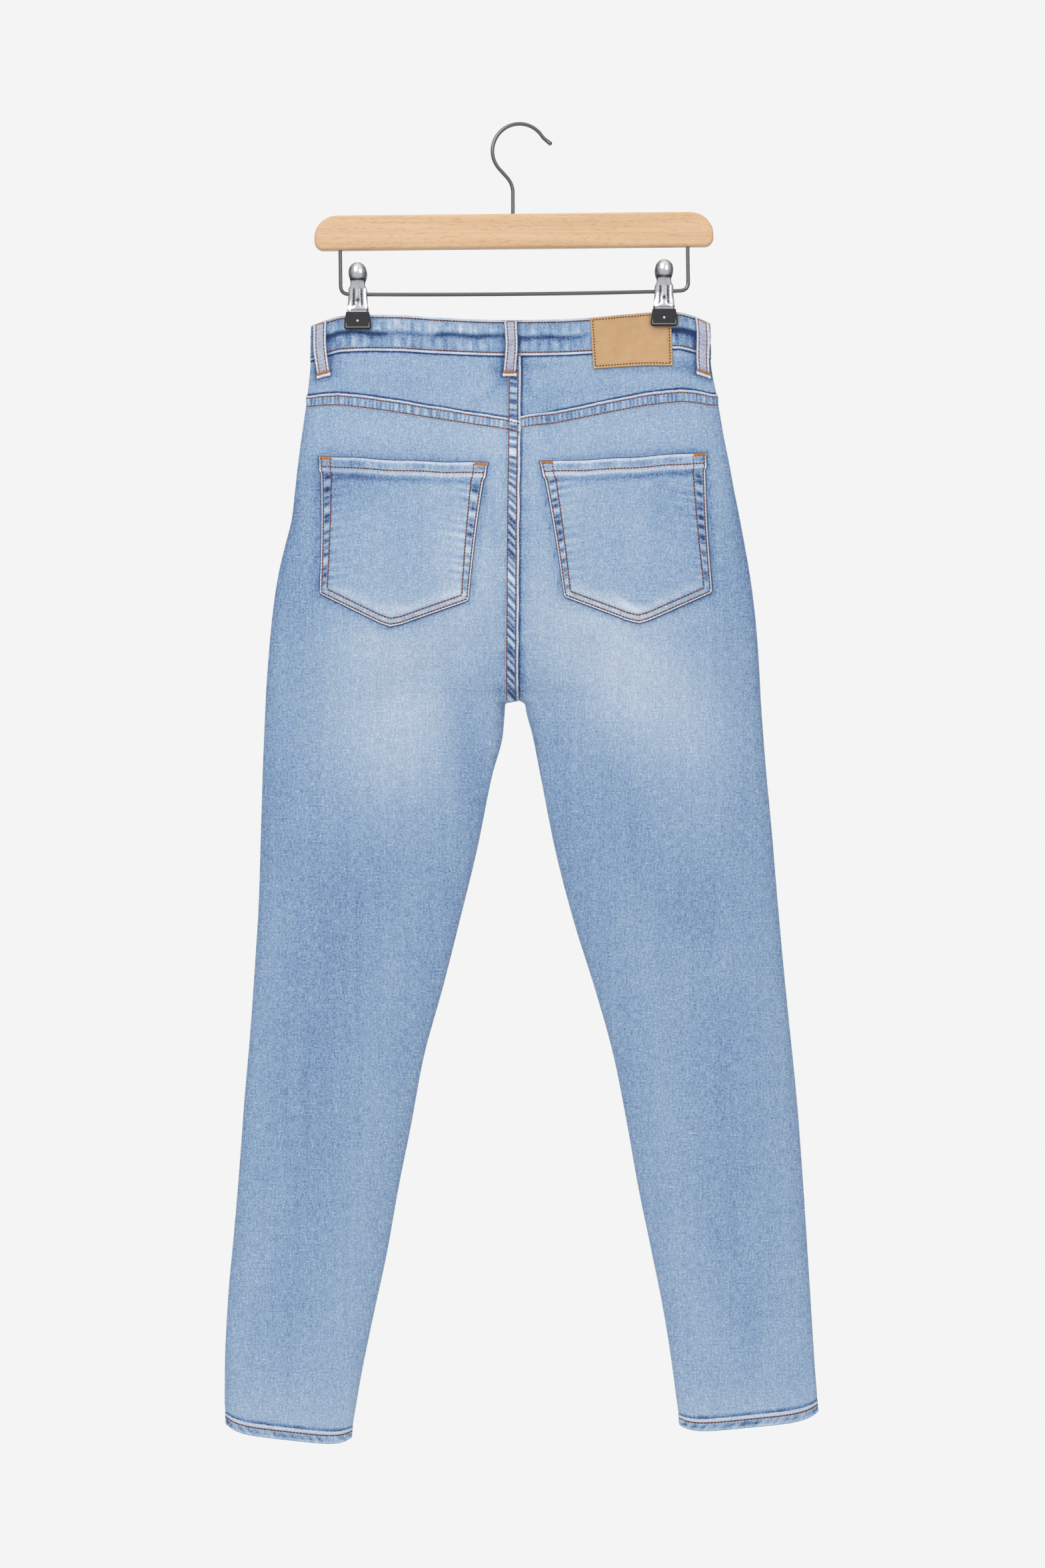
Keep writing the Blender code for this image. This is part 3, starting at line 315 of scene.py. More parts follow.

# Soft patches: face, x, drop, lean in degrees, half length, half width, gain in tone.
# The pale ones are fades of the wash; most dark ones are painted shade of folds and drag lines,
# under the waistband, beside the loops and by the crotch.
FADE_AND_SHADE_PATCHES = (
    ("back", -126, 352, 4, 108, 66, 0.22),
    ("back", -122, 386, 0, 60, 46, 0.04),
    ("back", 90, 318, 56, 100, 50, 0.18),
    ("back", 128, 372, 16, 66, 50, 0.12),
    ("back", 0, 186, 0, 130, 52, 0.12),
    ("back", -62, 378, 10, 84, 52, 0.10),
    ("back", 56, 352, -12, 76, 56, 0.07),
    ("back", 112, 300, 90, 56, 30, 0.07),
    ("back", -96, 104, 90, 90, 18, 0.05),
    ("back", 84, 104, 90, 90, 18, 0.05),
    ("back", -104, 214, 0, 78, 60, 0.04),
    ("back", 98, 206, 0, 70, 56, 0.06),
    ("back", -110, 296, 90, 60, 16, 0.05),
    ("back", -158, 148, 84, 38, 24, -0.15),
    ("back", 140, 172, 60, 34, 24, -0.10),
    ("back", -46, 396, 9, 60, 17, -0.12),
    ("back", 30, 366, -12, 50, 16, -0.04),
    ("back", -204, 216, 8, 84, 22, -0.11),
    ("back", 198, 220, -6, 80, 22, -0.08),
    ("back", -21, 45, 84, 9, 4, -0.14),
    ("back", 16, 43, 93, 16, 4, -0.12),
    ("back", 149, 47, 90, 14, 6, -0.20),
    ("back", 104, 50, 90, 34, 4, -0.08),
    ("back", -16.5, 345, 14, 15, 3, -0.18),
    ("back", 2.5, 320, 0, 26, 3, -0.14),
    ("back", 26, 86, 8, 34, 20, -0.12),
    ("back", -15, 60, 0, 18, 12, -0.12),
    ("back", -52, 240, 0, 70, 26, 0.14),
    ("back", 100, 268, 90, 66, 16, 0.11),
    ("back", 176, 344, -4, 100, 34, 0.05),
    ("back", 188, 620, -4, 240, 66, 0.02),
    ("back", 14, 188, -12, 50, 9, -0.07),
    ("back", -24, 184, 10, 34, 9, -0.07),
    ("back", 150, 450, -10, 60, 50, 0.05),
    ("back", 160, 590, 0, 50, 50, 0.05),
    ("back", -120, 60, 88, 60, 9, -0.04),
    ("back", -100, 8, 90, 66, 7, 0.07),
    ("back", 36, 9, 90, 34, 8, -0.10),
    ("back", -30, 70, -52, 16, 4, -0.08),
    ("back", -28, 59, -40, 14, 3, 0.06),
    ("back", 14, 74, 30, 18, 5, -0.07),
    ("back", 60, 66, 94, 46, 8, -0.04),
    ("back", -108, 262, 76, 17, 4, 0.09),
    ("back", -98, 269, 60, 12, 3, -0.07),
    ("back", -124, 257, 100, 13, 3, -0.06),
    ("back", 98, 261, 62, 14, 4, 0.09),
    ("back", 110, 257, 84, 14, 3, -0.07),
    ("back", 88, 252, 50, 12, 3, 0.06),
    ("front", -112, 350, 4, 160, 80, 0.16),
    ("front", 110, 352, -4, 160, 78, 0.16),
    ("front", -170, 640, 2, 70, 40, 0.10),
    ("front", 174, 636, -2, 74, 40, 0.10),
    ("front", -36, 392, 8, 66, 17, -0.16),
    ("front", 30, 384, -10, 66, 17, -0.16),
    ("front", -204, 240, 6, 100, 18, -0.10),
    ("front", 198, 240, -6, 100, 18, -0.10),
)

# Long soft stripes down a leg: place across it, width, gain in tone.
STRIPES = ((0.10, 0.09, 0.03), (0.42, 0.13, -0.045), (0.76, 0.12, 0.045))

YOKE_SEAM = {"left": (65.6, 26.0, 1.05), "right": (66.2, 25.4, 1.6)}
POCKET_COLUMNS = ("outer_top", "inner_top", "inner_foot", "point", "outer_foot")
POCKETS = {
    "left": ((-180.6, 124.4), (-27.6, 131.4), (-43.6, 256.0), (-115.8, 280.8), (-181.0, 249.4)),
    "right": ((168.2, 121.4), (17.4, 130.2), (37.8, 252.4), (107.2, 277.8), (174.6, 248.4)),
}
PATCH_LEFT, PATCH_RIGHT = 64.5, 137.5
PATCH_TOP, PATCH_FOOT = 0.6, 45.0

# The belt loops' solids, their faces, and x at their tops and feet.
LOOPS = (
    ("belt_loop_back_left", "back", -180.2, -176.4),
    ("belt_loop_back_centre", "back", -7.4, -8.2),
    ("belt_loop_back_right", "back", 163.6, 165.4),
    ("belt_loop_front_left", "front", -96.0, -97.0),
    ("belt_loop_front_right", "front", 82.0, 83.0),
)
LOOP_TOP, LOOP_FOOT = 0.8, 52.5
SCOOP_WIDTH, SCOOP_DEPTH, SCOOP_ROUNDNESS = 98.0, 78.0, 2.2
FACING_MARGIN = 9.0
FACING_SUNK = 1.3
FLY_FOOT, FLY_CURVE = 172.0, 128.0

# The dark crease along the middle of the waistband: x from, x to, strength.
BAND_CREASE = (
    (-186, -106, 1.0), (-132, -58, 0.5), (-84, -4, 0.95), (-8, 66, 0.85), (126, 190, 1.4),
)

# Shifts of the denim's pattern on the cut cloth, so that no two pieces match.
WEAVE_SHIFTS = {
    "back_leg": (0, 0), "front_leg": (500, 0), "yoke": (0, 700), "fell": (900, 0), "band": (0, 1200),
    "pocket": (1400, 7), "facing": (1900, 0), "fly": (2300, 0),
}
WRONG_SIDE_SHIFT = 31.0

# Clip arms: height over the rail, distance from its plane, half width, bulge.
ARM_COLUMNS = ("height", "away", "half_width", "bulge")
ARM = (
    (27.6, 9.4, 2.2, 0.6),
    (26.0, 10.4, 5.0, 1.8),
    (22.6, 11.4, 7.4, 3.0),
    (19.0, 11.8, 8.0, 3.4),
    (15.0, 10.8, 7.6, 2.8),
    (11.4, 8.9, 6.3, 1.4),
    (8.0, 7.4, 6.4, 1.2),
    (4.0, 6.4, 8.2, 2.0),
    (-3.0, 6.2, 8.4, 2.2),
    (-10.0, 6.0, 9.0, 1.8),
    (-14.0, 5.7, 9.4, 0.8),
    (-16.0, 5.4, 9.0, 0.0),
    (-29.0, 5.4, 9.0, 0.0),
)


def column(table, columns, name):
    return np.array([row[columns.index(name)] for row in table], float)


def smooth(value, start, end):
    """0 before start, 1 after end, and an even curve between them."""
    share = np.clip((np.asarray(value, float) - start) / (end - start), 0.0, 1.0)
    return share * share * (3.0 - 2.0 * share)


def bump_at(value, middle, width):
    """1 at the middle, falling off to both sides."""
    return np.exp(-(((np.asarray(value, float) - middle) / width) ** 2))


def curve_through(xs, ys, at):
    """A smooth curve through the points of a table that never overshoots them."""
    widths, slopes = np.diff(xs), np.diff(ys) / np.diff(xs)
    tangents = np.zeros(len(xs))
    tangents[0], tangents[-1] = slopes[0], slopes[-1]
    same = slopes[:-1] * slopes[1:] > 0
    before, after = 2 * widths[1:] + widths[:-1], widths[1:] + 2 * widths[:-1]
    with np.errstate(divide="ignore", invalid="ignore"):
        harmonic = (before + after) / (before / slopes[:-1] + after / slopes[1:])
    tangents[1:-1] = np.where(same, harmonic, 0.0)
    at = np.clip(np.asarray(at, float), xs[0], xs[-1])
    i = np.clip(np.searchsorted(xs, at, side="right") - 1, 0, len(xs) - 2)
    t = (at - xs[i]) / widths[i]
    return (
        (1 + 2 * t) * (1 - t) ** 2 * ys[i]
        + t * (1 - t) ** 2 * widths[i] * tangents[i]
        + t * t * (3 - 2 * t) * ys[i + 1]
        - t * t * (1 - t) * widths[i] * tangents[i + 1]
    )


def read(table, columns, name, at):
    """A column of a table at any value of the table's first column."""
    return curve_through(column(table, columns, columns[0]), column(table, columns, name), at)


def edges(side, drop):
    """x of the outer edge, x of the inner edge, and the fall, of the section at this drop."""
    table = LEG[side]
    return (
        read(table, LEG_COLUMNS, "outer_x", drop),
        read(table, LEG_COLUMNS, "inner_x", drop),
        read(table, LEG_COLUMNS, "fall", drop),
    )


def hem_drop(side):
    return LEG[side][-1][0]


def tube_depth(share):
    """Depth of a flattened tube at a share of the way across it, from 0 at an edge to 1."""
    away = np.abs(2.0 * np.clip(share, 0.0, 1.0) - 1.0)
    return (1.0 - away**ROUNDNESS) ** (1.0 / ROUNDNESS)


def face_width(side, drop):
    """How wide one face of a leg is."""
    outer_x, inner_x, _ = edges(side, drop)
    return np.abs(inner_x - outer_x)


def place_on(side, across, drop):
    """x, and the drop below the waist, of a place on the cut cloth."""
    outer_x, inner_x, fall = edges(side, drop)
    return outer_x + (inner_x - outer_x) * across, drop + fall * across


def crotch_profile(x, drop, outer_x, inner_x):
    """Share of the full depth at x. The seat's form runs on over the crotch and only then turns
    into each leg's own tube, closed by a narrow round edge beside the inseam."""
    share = np.minimum(read(DEPTH, DEPTH_COLUMNS, "share", drop), CROTCH_SHARE)
    above = outer_x * (1.0 - 1.0 / share)
    into_leg = smooth(drop, CROTCH_DROP, CROTCH_DROP + CROTCH_BLEND)
    end_x = above + (inner_x - above) * into_leg
    profile = tube_depth((x - outer_x) / (end_x - outer_x))
    away = np.hypot(x - inner_x, np.minimum(drop - CROTCH_DROP, 0.0)) / CROTCH_EDGE
    closed = np.sqrt(1.0 - (1.0 - np.clip(away, 0.0, 1.0)) ** 2)
    return profile * (closed + (1.0 - closed) * into_leg)


def pinch(x, drop):
    """1 where a clip presses the cloth flat, falling to 0 away from it."""
    felt = sum(1.0 - smooth(np.abs(x - at), CLIP_PLATEAU, CLIP_REACH) for at in CLIP_X.values())
    return np.clip(felt, 0.0, 1.0) * (1.0 - smooth(drop, *CLIP_FADE))


def patches(table, face, x, drop, power=1.0):
    """The sum of a table's leaning soft patches at this place."""
    total = np.zeros(np.broadcast(x, drop).shape)
    for on_face, at_x, at_drop, lean, length, width, amount in table:
        if on_face != face:
            continue
        turn = math.radians(lean)
        along = (drop - at_drop) * math.cos(turn) + (x - at_x) * math.sin(turn)
        aside = (x - at_x) * math.cos(turn) - (drop - at_drop) * math.sin(turn)
        total = total + amount * np.exp(-(((along / length) ** 2 + (aside / width) ** 2) ** power))
    return total


def cloth(face, side, across, drop):
    """Points of the denim's outer face, as the solids have it but for the crotch."""
    across, drop = np.broadcast_arrays(np.asarray(across, float), np.asarray(drop, float))
    x, below = place_on(side, across, drop)
    profile = crotch_profile(x, drop, *edges(side, drop)[:2])
    half = (read(DEPTH, DEPTH_COLUMNS, face, drop) + patches(FOLDS, face, x, below)) * profile
    half = half + np.minimum(PINCHED - half, 0.0) * pinch(x, drop)
    corner = np.abs(2.0 * across - 1.0) ** 6 * smooth(drop, hem_drop(side) - 40.0, hem_drop(side))
    dip = read(TOP_LINE, TOP_COLUMNS, "dip", x) * (1.0 - smooth(drop, 0.0, TOP_FADE))
    y = (-1.0 if face == "back" else 1.0) * half
    z = WAIST_Z - below - dip + 7.0 * corner
    return np.stack([x, y, z], axis=-1)


def cloth_normal(face, side, across, drop):
    step, step_down = 1e-4, 0.2
    before, after = (cloth(face, side, np.clip(across + s, 0, 1), drop) for s in (-step, step))
    above, below = (cloth(face, side, across, drop + s) for s in (-step_down, step_down))
    sideways, down = after - before, below - above
    normal = np.cross(sideways, down)
    normal /= np.linalg.norm(normal, axis=-1, keepdims=True)
    return -normal if (face == "back") == (side == "left") else normal


def cloth_moved(face, side, across, drop, out):
    """Points of the outer face moved out by out mm, with the small creases added."""
    across, drop, out = np.broadcast_arrays(
        np.asarray(across, float), np.asarray(drop, float), np.asarray(out, float)
    )
    crease = patches(CREASES, face, *place_on(side, across, drop)) * np.minimum(tube_depth(across), 1.0)
    if face == "back":
        crease = crease * smooth(drop, 95.0, 125.0)
    move = (out + crease)[..., None]
    return cloth(face, side, across, drop) + cloth_normal(face, side, across, drop) * move


def share_at(side, x, drop):
    """Where across its half a point at x lies. It serves down to the crotch, where fall is 0."""
    outer_x, inner_x, _ = edges(side, drop)
    return np.clip((x - outer_x) / (inner_x - outer_x), 0.0, 1.0)


def hip_moved(face, x, drop, out):
    """As cloth_moved(), but placed by x, on either side of the centre."""
    x, drop, out = np.broadcast_arrays(
        np.asarray(x, float), np.asarray(drop, float), np.asarray(out, float)
    )
    left = cloth_moved(face, "left", share_at("left", x, drop), drop, out)
    right = cloth_moved(face, "right", share_at("right", x, drop), drop, out)
    return np.where((x < 0)[..., None], left, right)


def yoke_seam(side, across):
    at_side, lower, late = YOKE_SEAM[side]
    return at_side + lower * np.asarray(across, float) ** late


def seam_at(x):
    """Drop of the yoke seam at x, on either side."""
    across = np.where(
        x < 0, share_at("left", x, np.full(np.shape(x), 75.0)), share_at("right", x, 75.0)
    )
    return np.where(x < 0, yoke_seam("left", across), yoke_seam("right", across))


def scoop_width(drop, grow=0.0):
    """Width of the front pocket's opening at this drop, from the side seam."""
    down = np.clip((drop - BAND_HEIGHT) / (SCOOP_DEPTH + grow), 0.0, 1.0)
    return (SCOOP_WIDTH + grow) * (1.0 - down**SCOOP_ROUNDNESS)


def ripple(at, period, seed):
    """An uneven wave between -1 and 1 along a seam, whose peaks differ in size and spacing."""
    at = np.asarray(at, float)
    knots = np.arange(at.min() - 2 * period, at.max() + 2 * period, period / 2)
    draw = np.random.default_rng(seed)
    signs = np.where(np.arange(len(knots)) % 2, -1.0, 1.0)
    heights = signs * draw.uniform(0.25, 1.0, len(knots))
    places = knots + draw.uniform(-0.14, 0.14, len(knots)) * period
    return curve_through(places, heights, at)


def drift(at, period, seed):
    """A slow uneven wave between 0 and 1."""
    return 0.5 + 0.5 * ripple(at, period, seed)


def wash_and_shade(face, x, drop, across):
    """Tone of the plain denim at this place of a leg or the hips: its wash, with the painted shade of folds
    and drag lines that the darker patches add.
    """
    tone = read(WASH, WASH_COLUMNS, face, drop) + patches(FADE_AND_SHADE_PATCHES, face, x, drop, 1.25)
    on_leg = smooth(drop, 430.0, 560.0) * (1.0 - smooth(drop, 900.0, 960.0))
    for middle, width, gain in STRIPES:
        wander = middle + 0.04 * np.sin(drop / 70.0 + middle * 20.0)
        tone = tone + gain * on_leg * bump_at(across, wander, width)
    return tone


def hip_wash_and_shade(face, x, drop):
    return wash_and_shade(face, x, drop, np.full(np.shape(x), 0.5))


# Meshes


def make_object(name, verts, faces, made_of, values=None, sharp=50.0):
    """An object of points in mm, whose values are written at its points for the material."""
    mesh = bpy.data.meshes.new(name)
    mesh.from_pydata(np.asarray(verts) * MM, [], np.asarray(faces).tolist())
    for label, numbers in (values or {}).items():
        numbers = np.asarray(numbers, np.float32)
        kind = "FLOAT_VECTOR" if numbers.ndim == 2 else "FLOAT"
        layer = mesh.attributes.new(label, kind, "POINT")
        layer.data.foreach_set("vector" if numbers.ndim == 2 else "value", numbers.ravel())
    mesh.validate()
    mesh.shade_smooth()
    mesh.set_sharp_from_angle(angle=math.radians(sharp))
    mesh.materials.append(made_of)
    made = bpy.data.objects.new(name, mesh)
    bpy.context.scene.collection.objects.link(made)
    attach(made, "root")
    return made


def rounding(distance, radius):
    """How far an edge that is rounded to this radius has turned in, from 1 at the edge itself."""
    turned = np.clip(1.0 - distance / radius, 0.0, 1.0)
    return 1.0 - np.sqrt(np.clip(1.0 - turned**2, 0.0, 1.0))


def quads_round(index):
    """The quads between rows of points, each of which closes into a ring."""
    turned = np.roll(index, -1, axis=1)
    return np.stack([index[:-1], turned[:-1], turned[1:], index[1:]], axis=-1).reshape(-1, 4)


def hard_piece(name, verts, faces, made_of, sharp=None):
    """An object of points in mm, with its faces turned outwards."""
    mesh = bpy.data.meshes.new(name)
    mesh.from_pydata(verts.reshape(-1, 3) * MM, [], faces)
    bm = bmesh.new()
    bm.from_mesh(mesh)
    bmesh.ops.recalc_face_normals(bm, faces=bm.faces)
    bm.to_mesh(mesh)
    bm.free()
    mesh.shade_smooth()
    if sharp:
        mesh.set_sharp_from_angle(angle=math.radians(sharp))
    mesh.materials.append(made_of)
    made = bpy.data.objects.new(name, mesh)
    bpy.context.scene.collection.objects.link(made)
    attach(made, "root")
    return made


def ringed(name, rings, made_of, sharp=None):
    """A hard piece through rings of points in mm, with a flat face at both ends."""
    index = np.arange(rings.shape[0] * rings.shape[1]).reshape(rings.shape[:2])
    faces = quads_round(index).tolist() + [index[0][::-1].tolist(), index[-1].tolist()]
    return hard_piece(name, rings, faces, made_of, sharp)


def outward(verts, faces):
    """The faces, turned over if they enclose their volume inside out. All are quads."""
    a, b, c, d = (verts[faces[:, i]] for i in range(4))
    volume = np.einsum("ij,ij->", a, np.cross(b, c)) + np.einsum("ij,ij->", a, np.cross(c, d))
    return faces if volume > 0 else faces[:, ::-1]


def rim_of(index):
    return np.concatenate([index[0], index[1:-1, -1], index[-1, ::-1], index[1:-1, 0][::-1]])


def weave_place(piece, x, drop):
    """The place on the cut cloth that the denim's pattern follows."""
    over, down = WEAVE_SHIFTS[piece]
    return np.stack(np.broadcast_arrays(x + over, drop + down), -1)


def shell(name, outer, inner, made_of, tone, flat, stands_for=()):
    """The closed wall between two grids of points, as thin as its cloth."""
    rows, cols = outer.shape[:2]
    count = rows * cols
    verts = np.concatenate([outer.reshape(-1, 3), inner.reshape(-1, 3)])
    index = np.arange(count).reshape(rows, cols)
    quads = np.stack([index[:-1, :-1], index[:-1, 1:], index[1:, 1:], index[1:, :-1]], axis=-1)
    quads = quads.reshape(-1, 4)
    ring = rim_of(index)
    following = np.roll(ring, -1)
    sides = np.stack([following, ring, ring + count, following + count], axis=-1)
    faces = outward(verts, np.concatenate([quads, quads[:, ::-1] + count, sides]))
    tone, flat = np.broadcast_to(tone, (rows, cols)).ravel(), flat.reshape(-1, 2)
    flat3 = np.concatenate([flat, np.zeros((count, 1))], axis=1)
    values = {
        "tone": np.concatenate([tone, tone]),
        "flat": np.concatenate([flat3, flat3 + (0.0, 0.0, WRONG_SIDE_SHIFT)]),
        "inside": np.concatenate([np.zeros(count), np.ones(count)]),
    }
    made = make_object(name, verts, faces, made_of, values)
    if stands_for:
        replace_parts(made, *stands_for)
    return made


def arc_length(points):
    steps = np.linalg.norm(np.diff(points, axis=0), axis=1)
    return np.concatenate([[0.0], np.cumsum(steps)])


class Thread:
    """Many stitches, gathered into one joined mesh."""

    # Share of the length, share of the radius, and lift in mm, of a stitch's rings.
    RINGS = (
        (0.0, 0.5, -0.25), (0.12, 0.9, 0.05), (0.5, 1.0, 0.22), (0.88, 0.9, 0.05), (1.0, 0.5, -0.25),
    )
    SIDES = 6

    def __init__(self, seed):
        self.verts, self.faces, self.tones, self.count = [], [], [], 0
        self.draw = np.random.default_rng(seed)

    def add(self, starts, ends, normals, radius=STITCH_RADIUS, tone=0.5):
        """A short arched thread from each start to each end."""
        along = ends - starts
        tangent = along / np.linalg.norm(along, axis=1, keepdims=True)
        aside = np.cross(normals, tangent)
        aside /= np.linalg.norm(aside, axis=1, keepdims=True)
        up = np.cross(tangent, aside)
        turns = 2 * np.pi * np.arange(self.SIDES) / self.SIDES
        rings = []
        for share, wide, lift in self.RINGS:
            middle = starts + along * share + up * (lift * radius / STITCH_RADIUS)
            around = aside[:, None] * np.cos(turns)[None, :, None]
            around = around + up[:, None] * np.sin(turns)[None, :, None] * 0.8
            rings.append(middle[:, None] + around * radius * wide)
        verts = np.stack(rings, axis=1)
        count, levels = verts.shape[:2]
        quads = quads_round(np.arange(levels * self.SIDES).reshape(levels, self.SIDES))
        caps = [[0, 3, 2, 1], [0, 5, 4, 3]]
        last = (levels - 1) * self.SIDES
        caps += [[last, last + 1, last + 2, last + 3], [last, last + 3, last + 4, last + 5]]
        one = np.concatenate([quads, np.array(caps)])
        offsets = self.count + np.arange(count) * levels * self.SIDES
        self.faces.append((one[None] + offsets[:, None, None]).reshape(-1, 4))
        self.verts.append(verts.reshape(-1, 3))
        shade = tone + self.draw.uniform(-0.3, 0.3, count)
        self.tones.append(np.repeat(shade, levels * self.SIDES))
        self.count += count * levels * self.SIDES

    def row(self, place, radius=STITCH_RADIUS, tone=0.5, length=STITCH_LENGTH, gap=STITCH_GAP):
        """A row of stitches along place(out), which gives the path's points moved out."""
        path, above = place(0.0), place(1.0)
        run = arc_length(path)
        count = int(run[-1] // (length + gap))
        if count < 1:
            return
        pitch = run[-1] / count
        starts = np.arange(count) * pitch + gap / 2
        pull = self.draw.uniform(-0.10, 0.10, count)

        def at(values, s):
            return np.stack([np.interp(s, run, values[:, k]) for k in range(3)], axis=1)

        normals = at(above - path, starts + length / 2)
        normals /= np.linalg.norm(normals, axis=1, keepdims=True)
        aside = np.cross(normals, at(path, starts + length) - at(path, starts))
        aside /= np.linalg.norm(aside, axis=1, keepdims=True)
        begin = at(path, starts + pull) + aside * 0.09
        end = at(path, starts + pitch - gap + pull) - aside * 0.09
        self.add(begin, end, normals, radius, tone)

    def tack(self, place, width, tone=0.5):
        """A bar tack: threads side by side. place(u, v, out) maps the tack's own square."""
        count = max(4, int(width / TACK_PITCH))
        u = (np.arange(count) + 0.5) / count
        low, high, above = place(u, 0.0, 0.0), place(u, 1.0, 0.0), place(u, 0.5, 1.0)
        middle = place(u, 0.5, 0.0)
        normals = above - middle
        normals /= np.linalg.norm(normals, axis=1, keepdims=True)
        lean = self.draw.uniform(-0.25, 0.25, (count, 1)) * (place(u + 0.05, 0.5, 0.0) - middle)
        self.add(low + lean, high - lean, normals, 0.36, tone)

    def build(self, name, made_of, slot):
        verts, faces = np.concatenate(self.verts), np.concatenate(self.faces)
        made = make_object(name, verts, faces, made_of, {"tone": np.concatenate(self.tones)})
        return made


# Materials


class Graph:
    """Adds shader nodes to a material, each with its inputs."""

    def __init__(self, name):
        self.material = bpy.data.materials.new(name)
        self.material.use_nodes = True
        self.nodes = self.material.node_tree.nodes
        self.links = self.material.node_tree.links
        self.shader = self.nodes["Principled BSDF"]

    def put(self, socket, value):
        if isinstance(value, bpy.types.NodeSocket):
            self.links.new(value, socket)
        elif value is not None:
            socket.default_value = value

    def node(self, kind, output=0, settings=None, **inputs):
        made = self.nodes.new(kind)
        for key, value in (settings or {}).items():
            setattr(made, key, value)
        for key, value in inputs.items():
            self.put(made.inputs[key.replace("_", " ")], value)
        return made.outputs[output]

    def value(self, label, output="Fac"):
        return self.node("ShaderNodeAttribute", output, {"attribute_name": label})

    def place(self):
        """The point's place in its object, in metres."""
        return self.node("ShaderNodeTexCoord", "Object")

    def maths(self, operation, a, b=None, c=None):
        made = self.nodes.new("ShaderNodeMath")
        made.operation = operation
        for socket, value in zip(made.inputs, (a, b, c)):
            self.put(socket, value)
        return made.outputs[0]

    def stretched(self, vector, scale):
        made = self.nodes.new("ShaderNodeMapping")
        self.put(made.inputs["Vector"], vector)
        made.inputs["Scale"].default_value = scale
        return made.outputs[0]

    def noise(self, vector, scale, detail=2.0, roughness=0.5):
        return self.node("ShaderNodeTexNoise", "Fac", None, Vector=vector, Scale=scale,
                         Detail=detail, Roughness=roughness)

    def ramp(self, fac, stops):
        made = self.nodes.new("ShaderNodeValToRGB")
        self.put(made.inputs[0], fac)
        band = made.color_ramp.elements
        while len(band) < len(stops):
            band.new(1.0)
        for element, (place, colour) in zip(band, stops):
            element.position = place
            element.color = linear(colour)
        return made.outputs["Color"]

    def bump(self, height, strength, distance):
        made = self.node("ShaderNodeBump", 0, None, Height=height, Strength=strength,
                         Distance=distance)
        self.links.new(made, self.shader.inputs["Normal"])

    def set(self, **inputs):
        for key, value in inputs.items():
            self.put(self.shader.inputs[key.replace("_", " ")], value)


def linear(colour):
    """A display colour, 0 to 255, as the linear colour that a shader takes."""
    share = np.asarray(colour, float) / 255.0
    low, high = share / 12.92, ((share + 0.055) / 1.055) ** 2.4
    return (*np.where(share <= 0.04045, low, high), 1.0)


def denim(name, stops, seed=0.0, contrast=1.0):
    """Washed denim: fine twill speckle, pale slub threads and slow uneven dye."""
    g = Graph(name)
    flat, tone = g.value("flat", "Vector"), g.value("tone")
    speckle = g.noise(g.stretched(flat, (0.66, 0.60, 1.0)), 1.0, 4.0, 0.78)
    slub = g.noise(g.stretched(flat, (0.60, 0.13, 1.0)), 1.0, 2.0, 0.6)
    weft = g.noise(g.stretched(flat, (0.10, 0.60, 1.0)), 1.0, 1.0, 0.5)
    streak = g.noise(g.stretched(flat, (0.17, 0.008, 1.0)), 1.0, 2.0, 0.5)
    cloud = g.noise(flat, 0.032 + seed, 3.0, 0.6)
    threads = g.node(
        "ShaderNodeTexWave", "Fac", {"wave_type": "BANDS", "bands_direction": "DIAGONAL"},
        Vector=g.stretched(flat, (1.5, 0.75, 0.0)), Scale=0.32, Distortion=1.2, Detail=1.0,
    )
    grain = 0.0
    parts = ((speckle, 1.62), (slub, 0.55), (weft, 0.22), (streak, 0.15), (cloud, 0.10),
             (threads, 0.06))
    for part, amount in parts:
        grain = g.maths("ADD", g.maths("MULTIPLY_ADD", part, amount, -amount / 2), grain)
    less_when_pale = g.maths("MINIMUM", g.maths("MULTIPLY_ADD", tone, -1.2, 1.80), 1.15)
    grain = g.maths("MULTIPLY", g.maths("MULTIPLY", grain, contrast), less_when_pale)
    total = g.maths("MULTIPLY", g.maths("ADD", tone, grain), 1.0 / TONE_TOP)
    right_side = g.ramp(total, [(tone_at / TONE_TOP, colour) for tone_at, colour in stops])
    wrong_side = g.ramp(total, [(tone_at / TONE_TOP, colour) for tone_at, colour in WRONG_SIDE])
    mixed = g.nodes.new("ShaderNodeMix")
    mixed.data_type = "RGBA"
    g.put(mixed.inputs["Factor"], g.value("inside"))
    g.put(mixed.inputs[6], right_side)
    g.put(mixed.inputs[7], wrong_side)
    g.set(Base_Color=mixed.outputs[2])
    g.set(Roughness=g.maths("MULTIPLY_ADD", speckle, 0.12, 0.80))
    g.set(Sheen_Weight=0.12, Sheen_Roughness=0.5, Specular_IOR_Level=0.2)
    height = g.maths("MULTIPLY_ADD", threads, 0.5, g.maths("MULTIPLY_ADD", slub, 0.6, speckle))
    g.bump(height, 0.35, 0.00022)
    return g.material


